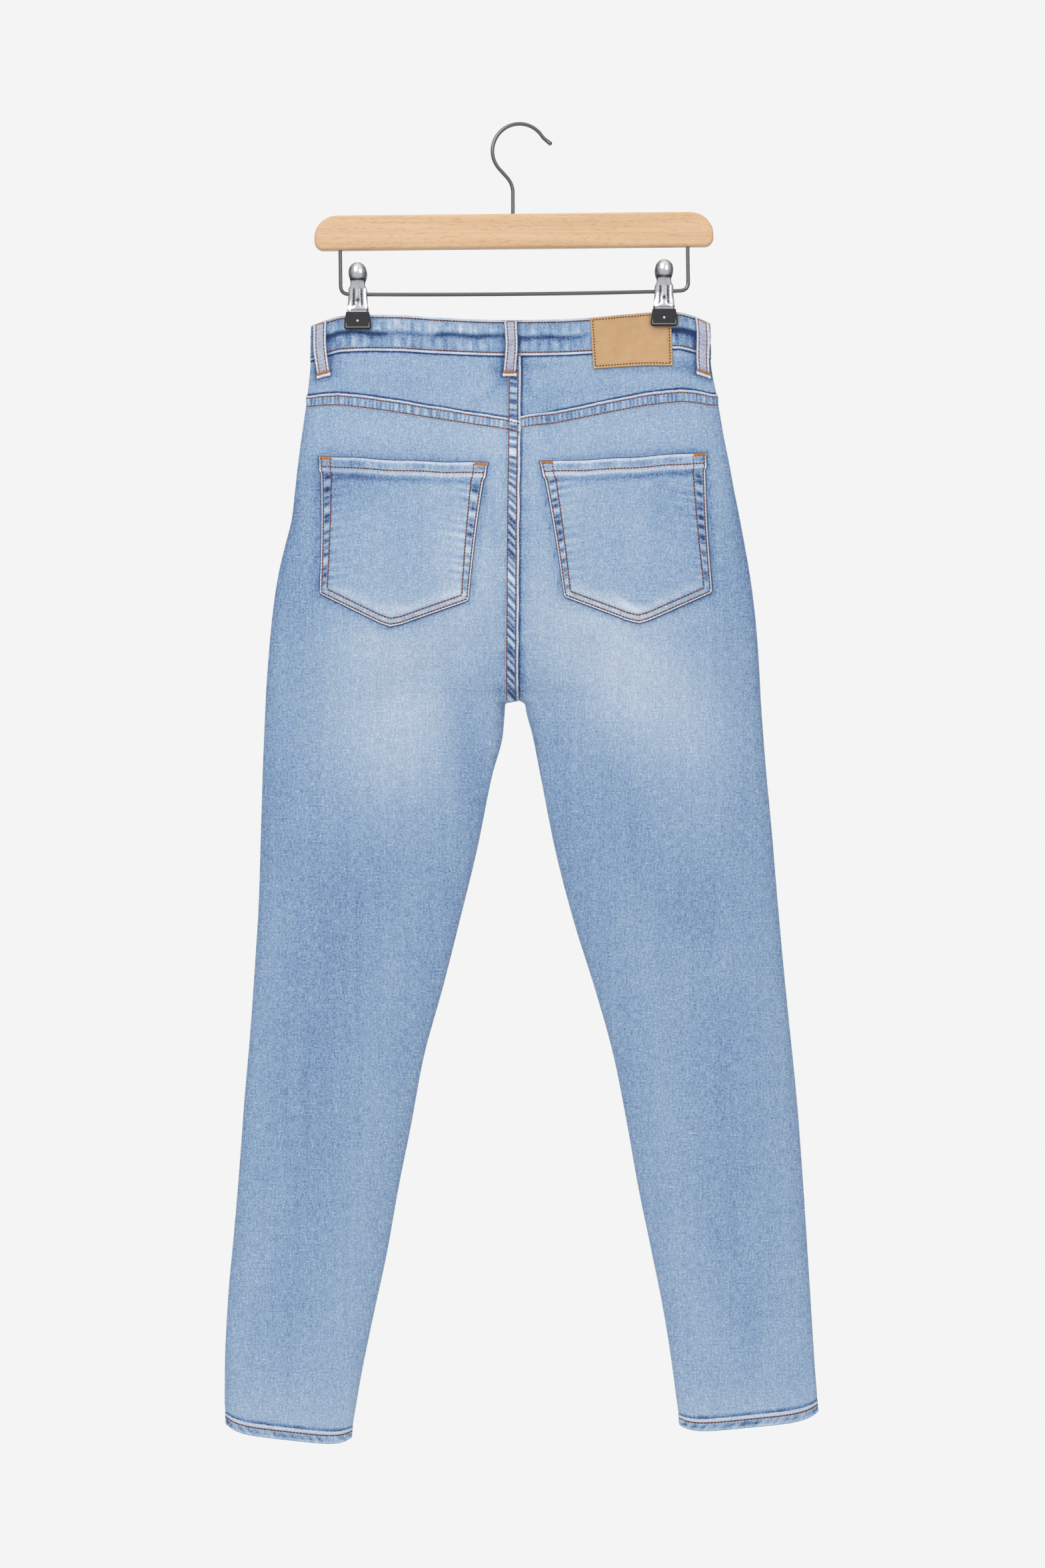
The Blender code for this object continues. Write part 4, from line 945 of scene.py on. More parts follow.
# Colours by tone. Only folded edges are paler than 1.
INDIGO = (
    (0.0, (46, 66, 112)),
    (0.2, (80, 106, 149)),
    (0.4, (111, 140, 180)),
    (0.6, (139, 167, 199)),
    (0.8, (166, 186, 208)),
    (1.0, (197, 209, 223)),
    (1.2, (224, 227, 237)),
)
LOOP_GREY = (
    (0.0, (84, 96, 130)),
    (0.3, (134, 143, 170)),
    (0.55, (170, 177, 196)),
    (0.75, (192, 197, 212)),
    (0.9, (210, 214, 226)),
    (1.15, (234, 235, 241)),
)
WRONG_SIDE = (
    (0.0, (122, 134, 152)),
    (0.5, (164, 173, 187)),
    (1.0, (196, 202, 210)),
)
THREAD_COLOURS = {
    "rust": ((0.0, (82, 37, 28)), (0.5, (122, 59, 41)), (1.0, (162, 88, 60))),
    "orange": ((0.0, (152, 86, 32)), (0.5, (198, 120, 48)), (1.0, (228, 162, 94))),
    "brown": ((0.0, (78, 46, 34)), (0.5, (108, 68, 50)), (1.0, (140, 98, 74))),
}


def thread_material(name):
    """Waxed cotton thread: each stitch its own shade, with fine twist lines."""
    g = Graph("thread_" + name)
    tone = g.value("tone")
    place = g.place()
    fibre = g.noise(place, 2600.0, 2.0)
    g.set(Base_Color=g.ramp(g.maths("MULTIPLY_ADD", fibre, 0.3, g.maths("ADD", tone, -0.15)),
                            THREAD_COLOURS[name]))
    g.set(Roughness=g.maths("MULTIPLY_ADD", fibre, 0.2, 0.5))
    g.bump(fibre, 0.3, 0.0001)
    return g.material


def leather_material():
    """Tan paper leather, smooth and faintly clouded, darker towards its edges."""
    g = Graph("tan_leather")
    flat = g.value("flat", "Vector")
    cloud = g.noise(flat, 0.11, 3.0, 0.6)
    fibres = g.noise(g.stretched(flat, (1.0, 0.5, 1.0)), 0.9, 4.0, 0.65)
    pores = g.node("ShaderNodeTexVoronoi", "Distance", None, Vector=flat, Scale=1.5)
    tone = g.maths("MULTIPLY_ADD", cloud, 0.35, g.maths("ADD", g.value("tone"), -0.30))
    tone = g.maths("MULTIPLY_ADD", fibres, 0.25, tone)
    g.set(Base_Color=g.ramp(tone, (
        (0.0, (138, 92, 52)), (0.35, (180, 137, 91)), (0.6, (204, 164, 119)),
        (1.0, (221, 189, 151)),
    )))
    g.set(Roughness=g.maths("MULTIPLY_ADD", fibres, 0.25, 0.5), Specular_IOR_Level=0.3)
    g.bump(g.maths("MULTIPLY_ADD", fibres, 0.6, pores), 0.28, 0.00018)
    return g.material


def wood_material():
    """Beech under matt varnish: fine grain along the bar with short darker flecks."""
    g = Graph("beech_wood")
    place = g.place()
    grain = g.noise(g.stretched(place, (7.0, 60.0, 420.0)), 1.0, 5.0, 0.6)
    bands = g.noise(g.stretched(place, (2.5, 20.0, 55.0)), 1.0, 3.0, 0.5)
    flecks = g.noise(g.stretched(place, (150.0, 400.0, 1050.0)), 1.0, 2.0, 0.5)
    fleck = g.maths("MULTIPLY", g.maths("GREATER_THAN", flecks, 0.61), 0.17)
    tone = g.maths("MULTIPLY_ADD", grain, 0.5, g.maths("MULTIPLY_ADD", bands, 0.5, -0.02))
    tone = g.maths("SUBTRACT", tone, fleck)
    g.set(Base_Color=g.ramp(tone, (
        (0.0, (170, 124, 84)), (0.3, (211, 171, 128)), (0.55, (228, 193, 155)),
        (1.0, (240, 214, 182)),
    )))
    g.set(Roughness=g.maths("MULTIPLY_ADD", grain, 0.2, 0.32), Coat_Weight=0.15, Coat_Roughness=0.3)
    g.bump(grain, 0.12, 0.0002)
    return g.material


def chrome_material(name="bright_chrome", rough=0.10, colour=(222, 223, 226), painted_reflections=False):
    """Chrome plate with a faint uneven polish; when asked, its tone paints dark reflections into it, such
    as in the clip arms' channels.
    """
    g = Graph(name)
    place = g.place()
    polish = g.noise(g.stretched(place, (300.0, 300.0, 900.0)), 1.0, 3.0)
    shade, darkest = polish, 0.94
    # Painted dark reflections, read from the tone.
    if painted_reflections:
        shade = g.maths("MULTIPLY_ADD", polish, 0.3, g.maths("ADD", g.value("tone"), 0.2))
        darkest = 0.30
    tint = g.ramp(shade, ((0.3, tuple(c * darkest for c in colour)), (0.7, colour)))
    g.set(Base_Color=tint, Metallic=1.0)
    g.set(Roughness=g.maths("MULTIPLY_ADD", polish, 0.10, rough))
    g.bump(polish, 0.04, 0.0001)
    return g.material


def rubber_material():
    """Black moulded rubber, faintly mottled, painted pale grey where the tone is high: the highlight along
    the pads' raised rim line.
    """
    g = Graph("clip_rubber")
    place = g.place()
    grain = g.noise(place, 900.0, 3.0, 0.7)
    shade = g.maths("MULTIPLY_ADD", grain, 0.3, g.maths("ADD", g.value("tone"), -0.3))
    g.set(Base_Color=g.ramp(shade, (
        (0.25, (26, 24, 27)), (0.45, (39, 37, 41)), (0.9, (168, 165, 170)),
    )))
    g.set(Roughness=g.maths("MULTIPLY_ADD", grain, 0.2, 0.45))
    g.bump(grain, 0.25, 0.0001)
    return g.material


# Pieces of cloth


def grid_of(across, drops):
    """A column of drops and a row of places, as two grids of one shape."""
    drops = np.asarray(drops, float)
    if drops.ndim == 1:
        drops = np.broadcast_to(drops[:, None], (len(drops), np.shape(across)[-1]))
    return np.broadcast_to(across, drops.shape), drops


def across_places(count, bunch=1.7):
    near = np.linspace(0.0, 1.0, count // 2 + 1) ** bunch / 2
    return np.concatenate([near, 1.0 - near[-2::-1]])


def hem_drops(side):
    """Fine rows down to the foot of a leg."""
    foot = hem_drop(side)
    return foot - np.array([30.0, 24.0, 19.0, 15.6, 13.4, 12.4, 11.9, 11.5, 11.1, 10.6, 9.9, 9.0,
                            8.2, 7.4, 6.6, 5.8, 5.0, 4.2, 3.4, 2.6, 1.9, 1.3, 0.8, 0.4, 0.15, 0.0])


def leg_drops(side, first):
    """Rows of a leg: close together round the crotch and the hem."""
    fine = hem_drops(side)
    upper = np.arange(first, 338.0, 3.2)
    crotch = np.arange(338.0, 358.0, 1.0)
    lower = np.linspace(358.0, fine[0], 178, endpoint=False)
    return np.concatenate([upper, crotch, lower, fine])


def hem_relief(side, face, across, drop):
    """(out, tone) of the turned hem: a step, a pale edge, a stitched groove and roping, with a painted
    shadow line above the hem and painted shade on its rounded foot.
    """
    s = across * face_width(side, drop)
    up = hem_drop(side) - drop
    seed = {"left": 3, "right": 7}[side] + (20 if face == "front" else 0)
    rope = ripple(s + up * 0.9, 7.5, seed)
    fine = ripple(s - up * 0.4, 3.4, seed + 1)
    step = smooth(HEM_HEIGHT + 0.35 - up, 0.0, 0.7)
    in_rope = step * smooth(8.6 - up, 0.0, 2.0)
    out = step * HEM_PROUD + in_rope * 0.28 * rope - 0.5 * rounding(up, 0.9)
    out = out - 0.22 * bump_at(up, HEM_ROW, 0.55) * step
    shadow = (0.40 + 0.35 * drift(s, 34.0, seed + 2)) * bump_at(up, HEM_HEIGHT + 1.1, 1.1)
    tone = -shadow * (1 - step) + step * (1 - in_rope) * 0.24
    roping = blots(s + up * 0.9, 8.2, seed + 5) * bump_at(up, 4.2, 2.4)
    roping = roping * (0.35 + 0.65 * drift(s, 60.0, seed + 6))
    tone = tone + in_rope * (0.10 * rope + 0.08 * fine + 0.06 - 0.95 * roping)
    # A pale worn fold near the foot, and painted shade on the foot's rounded edge.
    return out, tone + 0.10 * bump_at(up, 1.4, 0.8) - 0.22 * bump_at(up, 0.3, 0.5)


def blots(at, period, seed, size=(0.22, 0.42)):
    """Soft blots along a seam, 1 at the darkest, uneven in size, strength and spacing."""
    at = np.asarray(at, float)
    draw = np.random.default_rng(seed)
    middles = np.arange(at.min() - period, at.max() + period, period)
    middles = middles + draw.uniform(-0.3, 0.3, len(middles)) * period
    heights = draw.uniform(0.60, 1.0, len(middles))
    widths = draw.uniform(*size, len(middles)) * period
    total = np.zeros(at.shape)
    for middle, height, width in zip(middles, heights, widths):
        total = np.maximum(total, height * bump_at(at, middle, width))
    return total


def seam_pull(distance, s, seed, reach=9.0, period=6.0):
    """The small puckers that a row of stitches draws into the cloth beside it."""
    return np.exp(-np.abs(distance) / reach) * ripple(s, period, seed)


def leg_shell(face, side, across, drop, out, tone, made_of):
    """The shell of a leg panel, thicker at its turned hem, in place of the panel's solids."""
    up = hem_drop(side) - drop
    outer = cloth_moved(face, side, across, drop, out)
    inner = cloth_moved(face, side, across, drop, -DENIM - HEM_EXTRA * smooth(HEM_HEIGHT - up, 0.0, 0.8))
    flat = weave_place(f"{face}_leg", *place_on(side, across, drop))
    return shell(f"{face}_leg_{side}", outer, inner, made_of, tone, flat,
                 [f"{face}_panel_{side}{part}" for part in LEG_PARTS])


def back_leg(side, made_of):
    """One back leg from the yoke seam to the hem."""
    across = across_places(60)
    seam = yoke_seam(side, across)
    belows = np.array([0.0, 1.6, 3.4, 5.4, 7.6, 9.8, 12.0, 14.4, 17.0, 20.0, 23.4, 27.0])
    top = seam[None, :] + belows[:, None]
    shares = np.linspace(0.0, 1.0, 10)[1:, None]
    between = top[-1][None, :] * (1 - shares) + 136.0 * shares
    level = leg_drops(side, 139.0)
    _, lower = grid_of(across, level)
    drop = np.concatenate([top, between, lower])
    across = np.broadcast_to(across, drop.shape)
    x, below = place_on(side, across, drop)
    width = face_width(side, drop)
    hem_out, hem_tone = hem_relief(side, "back", across, drop)
    pulls = seam_pull(drop - seam, x, 31, 6.0) * smooth(110.0 - drop, 0.0, 8.0)
    from_centre = np.abs(x)
    beside = seam_pull(from_centre - 6.0, drop, 33, 5.0, 7.0) * smooth(344.0 - drop, 0.0, 12.0)
    out = hem_out + 0.10 * pulls + 0.14 * beside * smooth(from_centre, 3.0, 6.0)
    tone = wash_and_shade("back", x, below, across) + hem_tone + 0.04 * pulls + 0.05 * beside
    tone = tone - (0.13 - 0.10 * smooth(drop, 260.0, 420.0)) * bump_at(across * width, 0.0, 7.0)
    inseam = smooth(drop, 344, 372) * smooth(450.0 - drop, 0.0, 60.0)
    tone = tone - 0.08 * bump_at((1 - across) * width, 0, 3.0) * inseam
    # Painted shadow along the centre fell and round the pocket.
    tone = tone - shade_beside_centre(x, drop) - shade_round_pocket(side, x, drop)
    return leg_shell("back", side, across, drop, out, tone, made_of)


def front_leg(side, made_of):
    """One front leg, cut away at the pocket's opening, whose edge is turned and stitched."""
    foot = BAND_HEIGHT + SCOOP_DEPTH
    scoop = foot - (foot - BAND_HEIGHT) * np.linspace(1.0, 0.0, 40) ** 1.6
    drops = np.concatenate([scoop, leg_drops(side, foot + 3.0)])
    places, drop = grid_of(across_places(60), drops)
    width = face_width(side, drop)
    start = scoop_width(drop) / width
    across = start + (1.0 - start) * places
    x, below = place_on(side, across, drop)
    hem_out, hem_tone = hem_relief(side, "front", across, drop)
    edge = (across - start) * width + 60.0 * smooth(drop, foot - 1.0, foot + 4.0)
    band = smooth(11.0 - edge, 0.0, 1.5)
    pucker = ripple(drop + x, 6.0, 41)
    beside = seam_pull(np.abs(x) - 6.0, drop, 43, 5.0, 7.0) * smooth(344.0 - drop, 0.0, 12.0)
    out = hem_out + 0.12 * band * pucker + 0.12 * beside - 0.5 * bump_at(edge, 0.0, 0.8)
    tone = wash_and_shade("front", x, below, across) + hem_tone + 0.05 * beside
    between = smooth(edge, 2.2, 3.4) * smooth(8.0 - edge, 0.0, 1.0)
    tone = tone + between * (0.10 - 0.45 * blots(drop + x * 0.4, 6.5, 45))
    # Painted shade just outside the opening's second row.
    tone = tone - 0.10 * bump_at(edge, 9.5, 1.2)
    tone = tone + 0.42 * bump_at(edge, 0.8, 0.8) + 0.05 * band * pucker
    tone = tone - 0.05 * bump_at(across * width, 0.0, 5.0) * smooth(drop, foot, foot + 10.0)
    # Below the fly: on the left a pale worn edge and a painted shade line past the far row; on the right a
    # painted shadow beside the lapped edge.
    lapped = smooth(drop, FLY_FOOT - 12.0, FLY_FOOT) * smooth(346.0 - drop, 0.0, 6.0)
    if side == "left":
        strip = smooth(-x, 2.6, 3.6) * smooth(8.4 + x, 0.0, 1.0)
        tone = tone + lapped * strip * (0.12 - 0.60 * blots(drop + x * 0.8, 7.4, 46))
        tone = tone + lapped * (0.34 * bump_at(x, -0.9, 0.8) - 0.16 * bump_at(x, -10.0, 1.4))
    else:
        tone = tone - lapped * (0.60 * bump_at(x, 0.6, 0.9) + 0.10 * bump_at(x, 3.0, 4.0))
    return leg_shell("front", side, across, drop, out, tone, made_of)


def shade_beside_centre(x, drop):
    """Painted shade along both sides of the centre fell, down to the crotch: a thin shadow line by its
    folded edge and softer uneven shade beyond.
    """
    above = smooth(346.0 - drop, 0.0, 6.0)
    edge = centre_edge(np.clip(drop, BAND_HEIGHT, 344.0))
    right, left = x - edge, edge - FELL_WIDTH - x
    uneven = drift(drop, 26.0, 57)
    dark = 0.60 * bump_at(right, 0.9, 1.1) + (0.04 + 0.14 * uneven) * bump_at(right, 3.0, 6.0)
    dark = dark + 0.26 * bump_at(left, 0.3, 1.1)
    dark = dark + 0.10 * drift(drop, 22.0, 58) * bump_at(left, 2.0, 5.0)
    return dark * above


def outside_of(corners, x, drop):
    """Distance of each place to an outline of (x, drop) corners."""
    nearest = np.full(np.broadcast(x, drop).shape, 1e9)
    for start, end in zip(corners, np.roll(corners, -1, axis=0)):
        along = end - start
        share = ((x - start[0]) * along[0] + (drop - start[1]) * along[1]) / (along @ along)
        share = np.clip(share, 0.0, 1.0)
        away = np.hypot(x - start[0] - along[0] * share, drop - start[1] - along[1] * share)
        nearest = np.minimum(nearest, away)
    return nearest


def shade_round_pocket(side, x, drop):
    """Painted shadow on the seat round the pocket, more so above its hem: a thin dark line along its edge
    and a softer shade farther out.
    """
    away = outside_of(np.array(POCKETS[side], float), x, drop)
    return 0.26 * np.exp(-away / 1.3) + 0.05 * np.exp(-away / 7.0)


def yoke_cloth(side, made_of):
    """The back yoke between the waistband and its seam."""
    across = across_places(110, 1.35)
    seam = yoke_seam(side, across)
    shares = (0.5 - 0.5 * np.cos(np.linspace(0.0, np.pi, 40)))[:, None]
    drop = BAND_HEIGHT + 0.1 + (seam[None, :] - BAND_HEIGHT - 0.1) * shares
    across = np.broadcast_to(across, drop.shape)
    x, _ = place_on(side, across, drop)
    near_band = seam_pull(drop - BAND_HEIGHT, x, 51, 4.0, 8.0)
    near_seam = seam_pull(seam - drop, x, 52, 3.5, 6.0)
    tone = wash_and_shade("back", x, drop, across) + 0.05 * near_band + 0.05 * near_seam
    # Painted shadow: a thin dark line under the waistband's edge, another above the yoke fell, and softer
    # shade above the fell.
    tone = tone - 0.70 * bump_at(drop, BAND_HEIGHT + 0.2, 0.9)
    tone = tone - 0.80 * bump_at(seam - drop, 0.9, 0.75)
    tone = tone - 0.07 * bump_at(seam - drop, 3.0, 4.0) * drift(x, 30.0, 53)
    tone = tone - shade_beside_centre(x, drop)
    # Painted shadow beside the back belt loops and under their feet.
    over_foot = LOOP_FOOT - drop
    for _, face, _, foot_x in LOOPS:
        if face == "back":
            beside = np.abs(x - foot_x) - LOOP_WIDTH / 2
            tone = tone - 0.36 * bump_at(beside, 0.9, 2.2) * smooth(over_foot + 3.0, 0.0, 5.0)
            tone = tone - 0.12 * bump_at(beside, 5.0, 7.0) * smooth(over_foot + 12.0, 0.0, 16.0)
            tone = tone - 0.20 * bump_at(beside, -4.0, 5.0) * bump_at(over_foot, -1.6, 1.8)
    out = 0.16 * near_band + 0.12 * near_seam
    outer = cloth_moved("back", side, across, drop, out)
    inner = cloth_moved("back", side, across, drop, -DENIM)
    flat = weave_place("yoke", x * 1.04, drop)
    return shell(f"yoke_cloth_{side}", outer, inner, made_of, tone, flat, [f"yoke_{side}"])


def fell_strip(name, path, made_of, seed, slant, strength, period, crossed=False):
    """A felled seam: a raised strip beside its path, puckered between two rows of stitches.

    The path is x and drop along the seam and the strip's own direction across it."""
    x, drop, over_x, over_drop = path
    t = np.array([-0.05, -0.035, -0.015, 0.02, 0.06, 0.10, 0.145, 0.185, 0.215, 0.24, 0.265, 0.30,
                  0.36, 0.43, 0.50, 0.57, 0.64, 0.71, 0.78, 0.84, 0.89, 0.925, 0.95, 0.975, 1.0,
                  1.03, 1.06])
    profile = np.clip(np.minimum(t + 0.05, 1.06 - t) / 0.10, 0.0, 1.0)
    profile = np.sqrt(1.0 - (1.0 - profile) ** 2)
    wander = 0.35 * ripple(drop + x, 40.0, seed + 7) + 0.12 * ripple(drop + x, 9.0, seed + 8)
    over = t[None, :] * FELL_WIDTH + wander[:, None]
    grid_x = x[:, None] + over_x[:, None] * over
    grid_drop = drop[:, None] + over_drop[:, None] * over
    slant = slant * (0.15 + 0.85 * smooth(drop, 110.0, 190.0))[:, None]
    s = arc_length(np.stack([x, drop], -1))[:, None] + slant * (t[None, :] - 0.5) * FELL_WIDTH
    low, high = FELL_ROWS
    between = smooth(t, low + 0.01, low + 0.09) * smooth(high - 0.01 - t, 0.0, 0.08)
    dark = blots(s, period, seed)
    lines = ripple(s, 3.1, seed + 1)
    worn = drift(s, 60.0, seed + 3)
    groove = bump_at(t, low, 0.035) + bump_at(t, high, 0.035)
    out = FELL_PROUD * profile - 0.32 * groove
    out = out + strength * (0.30 - 0.62 * dark + 0.08 * lines) * between
    tone = strength * (0.32 - 1.12 * dark - 0.10 * worn + 0.12 * lines) * between
    # A pale worn rim by the folded edge; painted shade in the stitch grooves and a painted shadow line just
    # outside the strip.
    tone = tone + 0.40 * bump_at(t, 0.065, 0.07) - 0.10 * groove + 0.14 * bump_at(t, 1.03, 0.05)
    tone = tone - 1.2 * bump_at(t, -0.05, 0.045)
    if crossed:
        at = (grid_drop - crossing(grid_x)) / FELL_WIDTH
        over = smooth(at, -0.06, 0.0) * smooth(1.06 - at, 0.0, 0.06)
        rows = bump_at(at, low, 0.04) + bump_at(at, high, 0.04)
        out = out + 0.40 * over - 0.25 * rows * over
        # Over the yoke seam: a pale worn edge, a painted shadow line outside it, painted shade in its
        # grooves and below it.
        tone = tone + 0.36 * bump_at(at, 0.10, 0.09) - 0.55 * bump_at(at, -0.07, 0.07)
        tone = tone - 0.08 * rows - 0.20 * bump_at(at, 1.15, 0.12)
    tone = hip_wash_and_shade("back", grid_x, grid_drop) + tone
    outer = hip_moved("back", grid_x, grid_drop, out)
    inner = hip_moved("back", grid_x, grid_drop, np.full(grid_x.shape, -0.5))
    return shell(name, outer, inner, made_of, tone, weave_place("fell", grid_x, grid_drop))


def crossing(x):
    """Drop of the left yoke's seam where it runs on, under the centre's fell, and turns down."""
    return seam_at(np.minimum(x, -0.01)) + 1.8 * smooth(x, -15.0, 0.5)


def yoke_path(side, step=0.8):
    outer_x = edges(side, 75.0)[0]
    sign = -1.0 if side == "left" else 1.0
    reach = abs(float(outer_x)) - 0.8
    x = sign * np.linspace(reach, 1.3 if side == "right" else 10.6, int(reach / step))
    drop = crossing(x) if side == "left" else seam_at(x) - 2.6 * smooth(-x, -34.0, -4.0)
    return x, drop, np.zeros(len(x)), np.ones(len(x))


def centre_edge(drop):
    """x of the centre fell's folded edge. The left half is on top."""
    return 0.9 - 1.8 * smooth(drop, 100.0, 260.0) + 0.3 * np.sin(drop / 31.0)


def centre_path(step=0.8):
    """Down the centre back, from under the waistband to the crotch."""
    drop = np.arange(BAND_HEIGHT + 0.2, 344.6, step)
    return centre_edge(drop), drop, -np.ones(len(drop)), np.zeros(len(drop))


def band_stations():
    """(face, x, inward) round the waistband, from the end under the overlap to the one over it."""
    sunk = BAND_WALL + LAID_GAP
    ease = np.linspace(0.0, 1.0, 150) ** 1.5
    left, right = float(edges("left", BAND_HEIGHT)[0]), float(edges("right", BAND_HEIGHT)[0])
    under = np.linspace(-UNDERLAP, 20.0, 40)
    stations = [("front", x, sunk * (1.0 - smooth(x, 5.0, 21.0))) for x in under]
    stations += [("front", x, 0.0) for x in 21.0 + (right - 21.0) * (1.0 - ease[::-1])]
    stations += [("back", x, 0.0) for x in right * (1.0 - ease[1:])]
    stations += [("back", x, 0.0) for x in left * (1.0 - ease[::-1][1:])]
    stations += [("front", x, 0.0) for x in left + (OVERLAP - left) * ease[1:]]
    return stations


def band_marks(face, x, drops):
    """(out, tone) of the waistband: its dark crease, puckers by the stitches, uneven wear."""
    strong = 0.0
    for start, end, strength in BAND_CREASE:
        taper = smooth(x, start, start + 12) * (1 - smooth(x, end - 22, end + 4))
        strong = max(strong, strength * taper)
    if face == "front":
        strong = 0.45
    wander = 15.8 + 0.9 * math.sin(x / 23.0) + 0.7 * math.sin(x / 7.0 + 1.0)
    crease = bump_at(drops, wander, 1.5 + 0.6 * strong)
    out = -0.95 * strong * crease + 0.30 * strong * bump_at(drops, wander - 4.2, 2.6)
    tone = -0.66 * strong * crease - 0.15 * strong * bump_at(drops, wander + 3.0, 3.2)
    tone = tone + 0.08 * strong * bump_at(drops, wander - 4.6, 2.0)
    return out, tone


def waistband_cloth(made_of):
    """One folded strip all round the waist."""
    drops = np.array([0.0, 0.12, 0.35, 0.7, 1.15, 1.7, 2.3, 2.9, 3.5, 4.3, 5.4, 6.8, 8.4, 10.0,
                      11.6, 13.0, 14.2, 15.2, 16.2, 17.2, 18.4, 20.0, 22.0, 24.0, 26.0, 27.6,
                      28.8, 29.6, 30.2, 30.8, 31.4, 32.0, 32.4, 32.6, 32.8, 33.0])
    stations = band_stations()
    faces = [station[0] for station in stations]
    xs = np.array([station[1] for station in stations])
    inward = np.array([float(station[2]) for station in stations])
    middle = np.stack([hip_moved(f, x, 16.0, -i) for f, x, i in zip(faces, xs, inward)])
    s = arc_length(middle)
    tall = ripple(s, 9.5, 61)[:, None]
    tight = ripple(s, 4.6, 62)[:, None]
    slow = ripple(s, 31.0, 63)[:, None]
    turn = 1.5 * ripple(s, 21.0, 65)[:, None]
    mottle = ripple(s, 13.0, 64)[:, None] * np.cos((drops - 23.0) / 3.6 + turn)
    top, foot = rounding(drops, 1.5), rounding(BAND_HEIGHT - drops, 0.6)
    lower = smooth(drops, 16.0, 22.0) * smooth(30.0 - drops, 0.0, 3.0)
    upper = smooth(drops, 3.2, 5.0) * smooth(15.0 - drops, 0.0, 3.0)
    out = BAND_PROUD - 1.15 * top - 0.5 * foot
    out = out - 0.20 * bump_at(drops, BAND_ROWS[0], 0.5) - 0.22 * bump_at(drops, BAND_ROWS[1], 0.5)
    out = out + (0.34 * lower + 0.16 * upper) * tall + 0.10 * (lower + upper) * tight
    tone = 0.08 * slow + (0.19 * lower + 0.11 * upper) * tall + 0.10 * (lower + upper) * tight
    tone = tone + (0.03 + 0.16 * mottle) * (lower + upper)
    tone = tone + 0.30 * smooth(2.2 - drops, 0.0, 0.6) + 0.46 * bump_at(drops, 31.4, 0.9)
    tone = tone - 0.10 * bump_at(drops, 28.6, 0.9) * (0.4 + 0.6 * drift(s, 4.2, 66)[:, None])
    tone = tone - 0.10 * bump_at(drops, 3.8, 0.9) * (0.4 + 0.6 * drift(s, 4.6, 67)[:, None])
    # The last term paints shade on the band's rounded lower edge.
    tone = tone - 0.07 * lower - 0.95 * smooth(drops, 32.35, 32.75)
    for i, (face, x) in enumerate(zip(faces, xs)):
        more, shade = band_marks(face, x, drops)
        out[i] += more
        tone[i] += shade + wash_and_shade(face, x, drops, 0.5) - 0.02
        for _, loop_face, top_x, foot_x in LOOPS:
            if loop_face == face:
                loop_x = top_x + (foot_x - top_x) * drops / LOOP_FOOT
                beside = np.abs(x - loop_x) - LOOP_WIDTH / 2
                deep = 0.35 + 0.65 * smooth(drops, 6.0, 26.0)
                # Painted shadow beside each belt loop, deeper towards the band's foot.
                tone[i] -= 0.34 * bump_at(beside, 0.6, 2.6) * deep
                tone[i] -= 0.10 * bump_at(beside, 4.0, 7.0)
    outer, inner = np.zeros((*tone.shape, 3)), np.zeros((*tone.shape, 3))
    thick = BAND_WALL - 0.25 - 1.75 * top - 0.3 * foot
    for face in ("back", "front"):
        here = np.array([f == face for f in faces])
        moved = out[here] - inward[here][:, None]
        grid_x, grid_drop = np.broadcast_arrays(xs[here][:, None], drops[None, :])
        outer[here] = hip_moved(face, grid_x, grid_drop, moved)
        inner[here] = hip_moved(face, grid_x, grid_drop, moved - thick)
    flat = weave_place("band", s[:, None] * 0.995, drops[None, :])
    return shell("waistband_cloth", outer, inner, made_of, tone, flat, ["waistband"])


def loop_surface(face, top_x, foot_x, u, share, out):
    """A point of a belt loop's outer face: u from -1 to 1 across it, share from top to foot."""
    middle = top_x + (foot_x - top_x) * share + 0.7 * np.sin(share * 6.0 + top_x)
    flare = 1.0 + 0.16 * smooth(share, 0.86, 0.97) + 0.06 * bump_at(share, 0.0, 0.1)
    x = middle + LOOP_WIDTH / 2 * u * flare
    drop = LOOP_TOP + (LOOP_FOOT - LOOP_TOP) * share
    bow = np.sin(np.pi * np.clip(share / 0.96, 0.0, 1.0)) ** 0.7
    tuck = smooth(share, 0.90, 0.96)
    seat = SEAT_GAP + BAND_PROUD * (1 - tuck) + (LAID_GAP + LOOP_BOW) * bow
    crown = 0.35 * (1.0 - u**2) - 0.25 * bump_at(np.abs(u), LOOP_ROW, 0.10)
    foot = 0.75 * bump_at(share, 0.968, 0.022) - 0.5 * bump_at(share, 0.917, 0.016)
    return hip_moved(face, x, drop, seat + 1.2 + crown + foot + out)


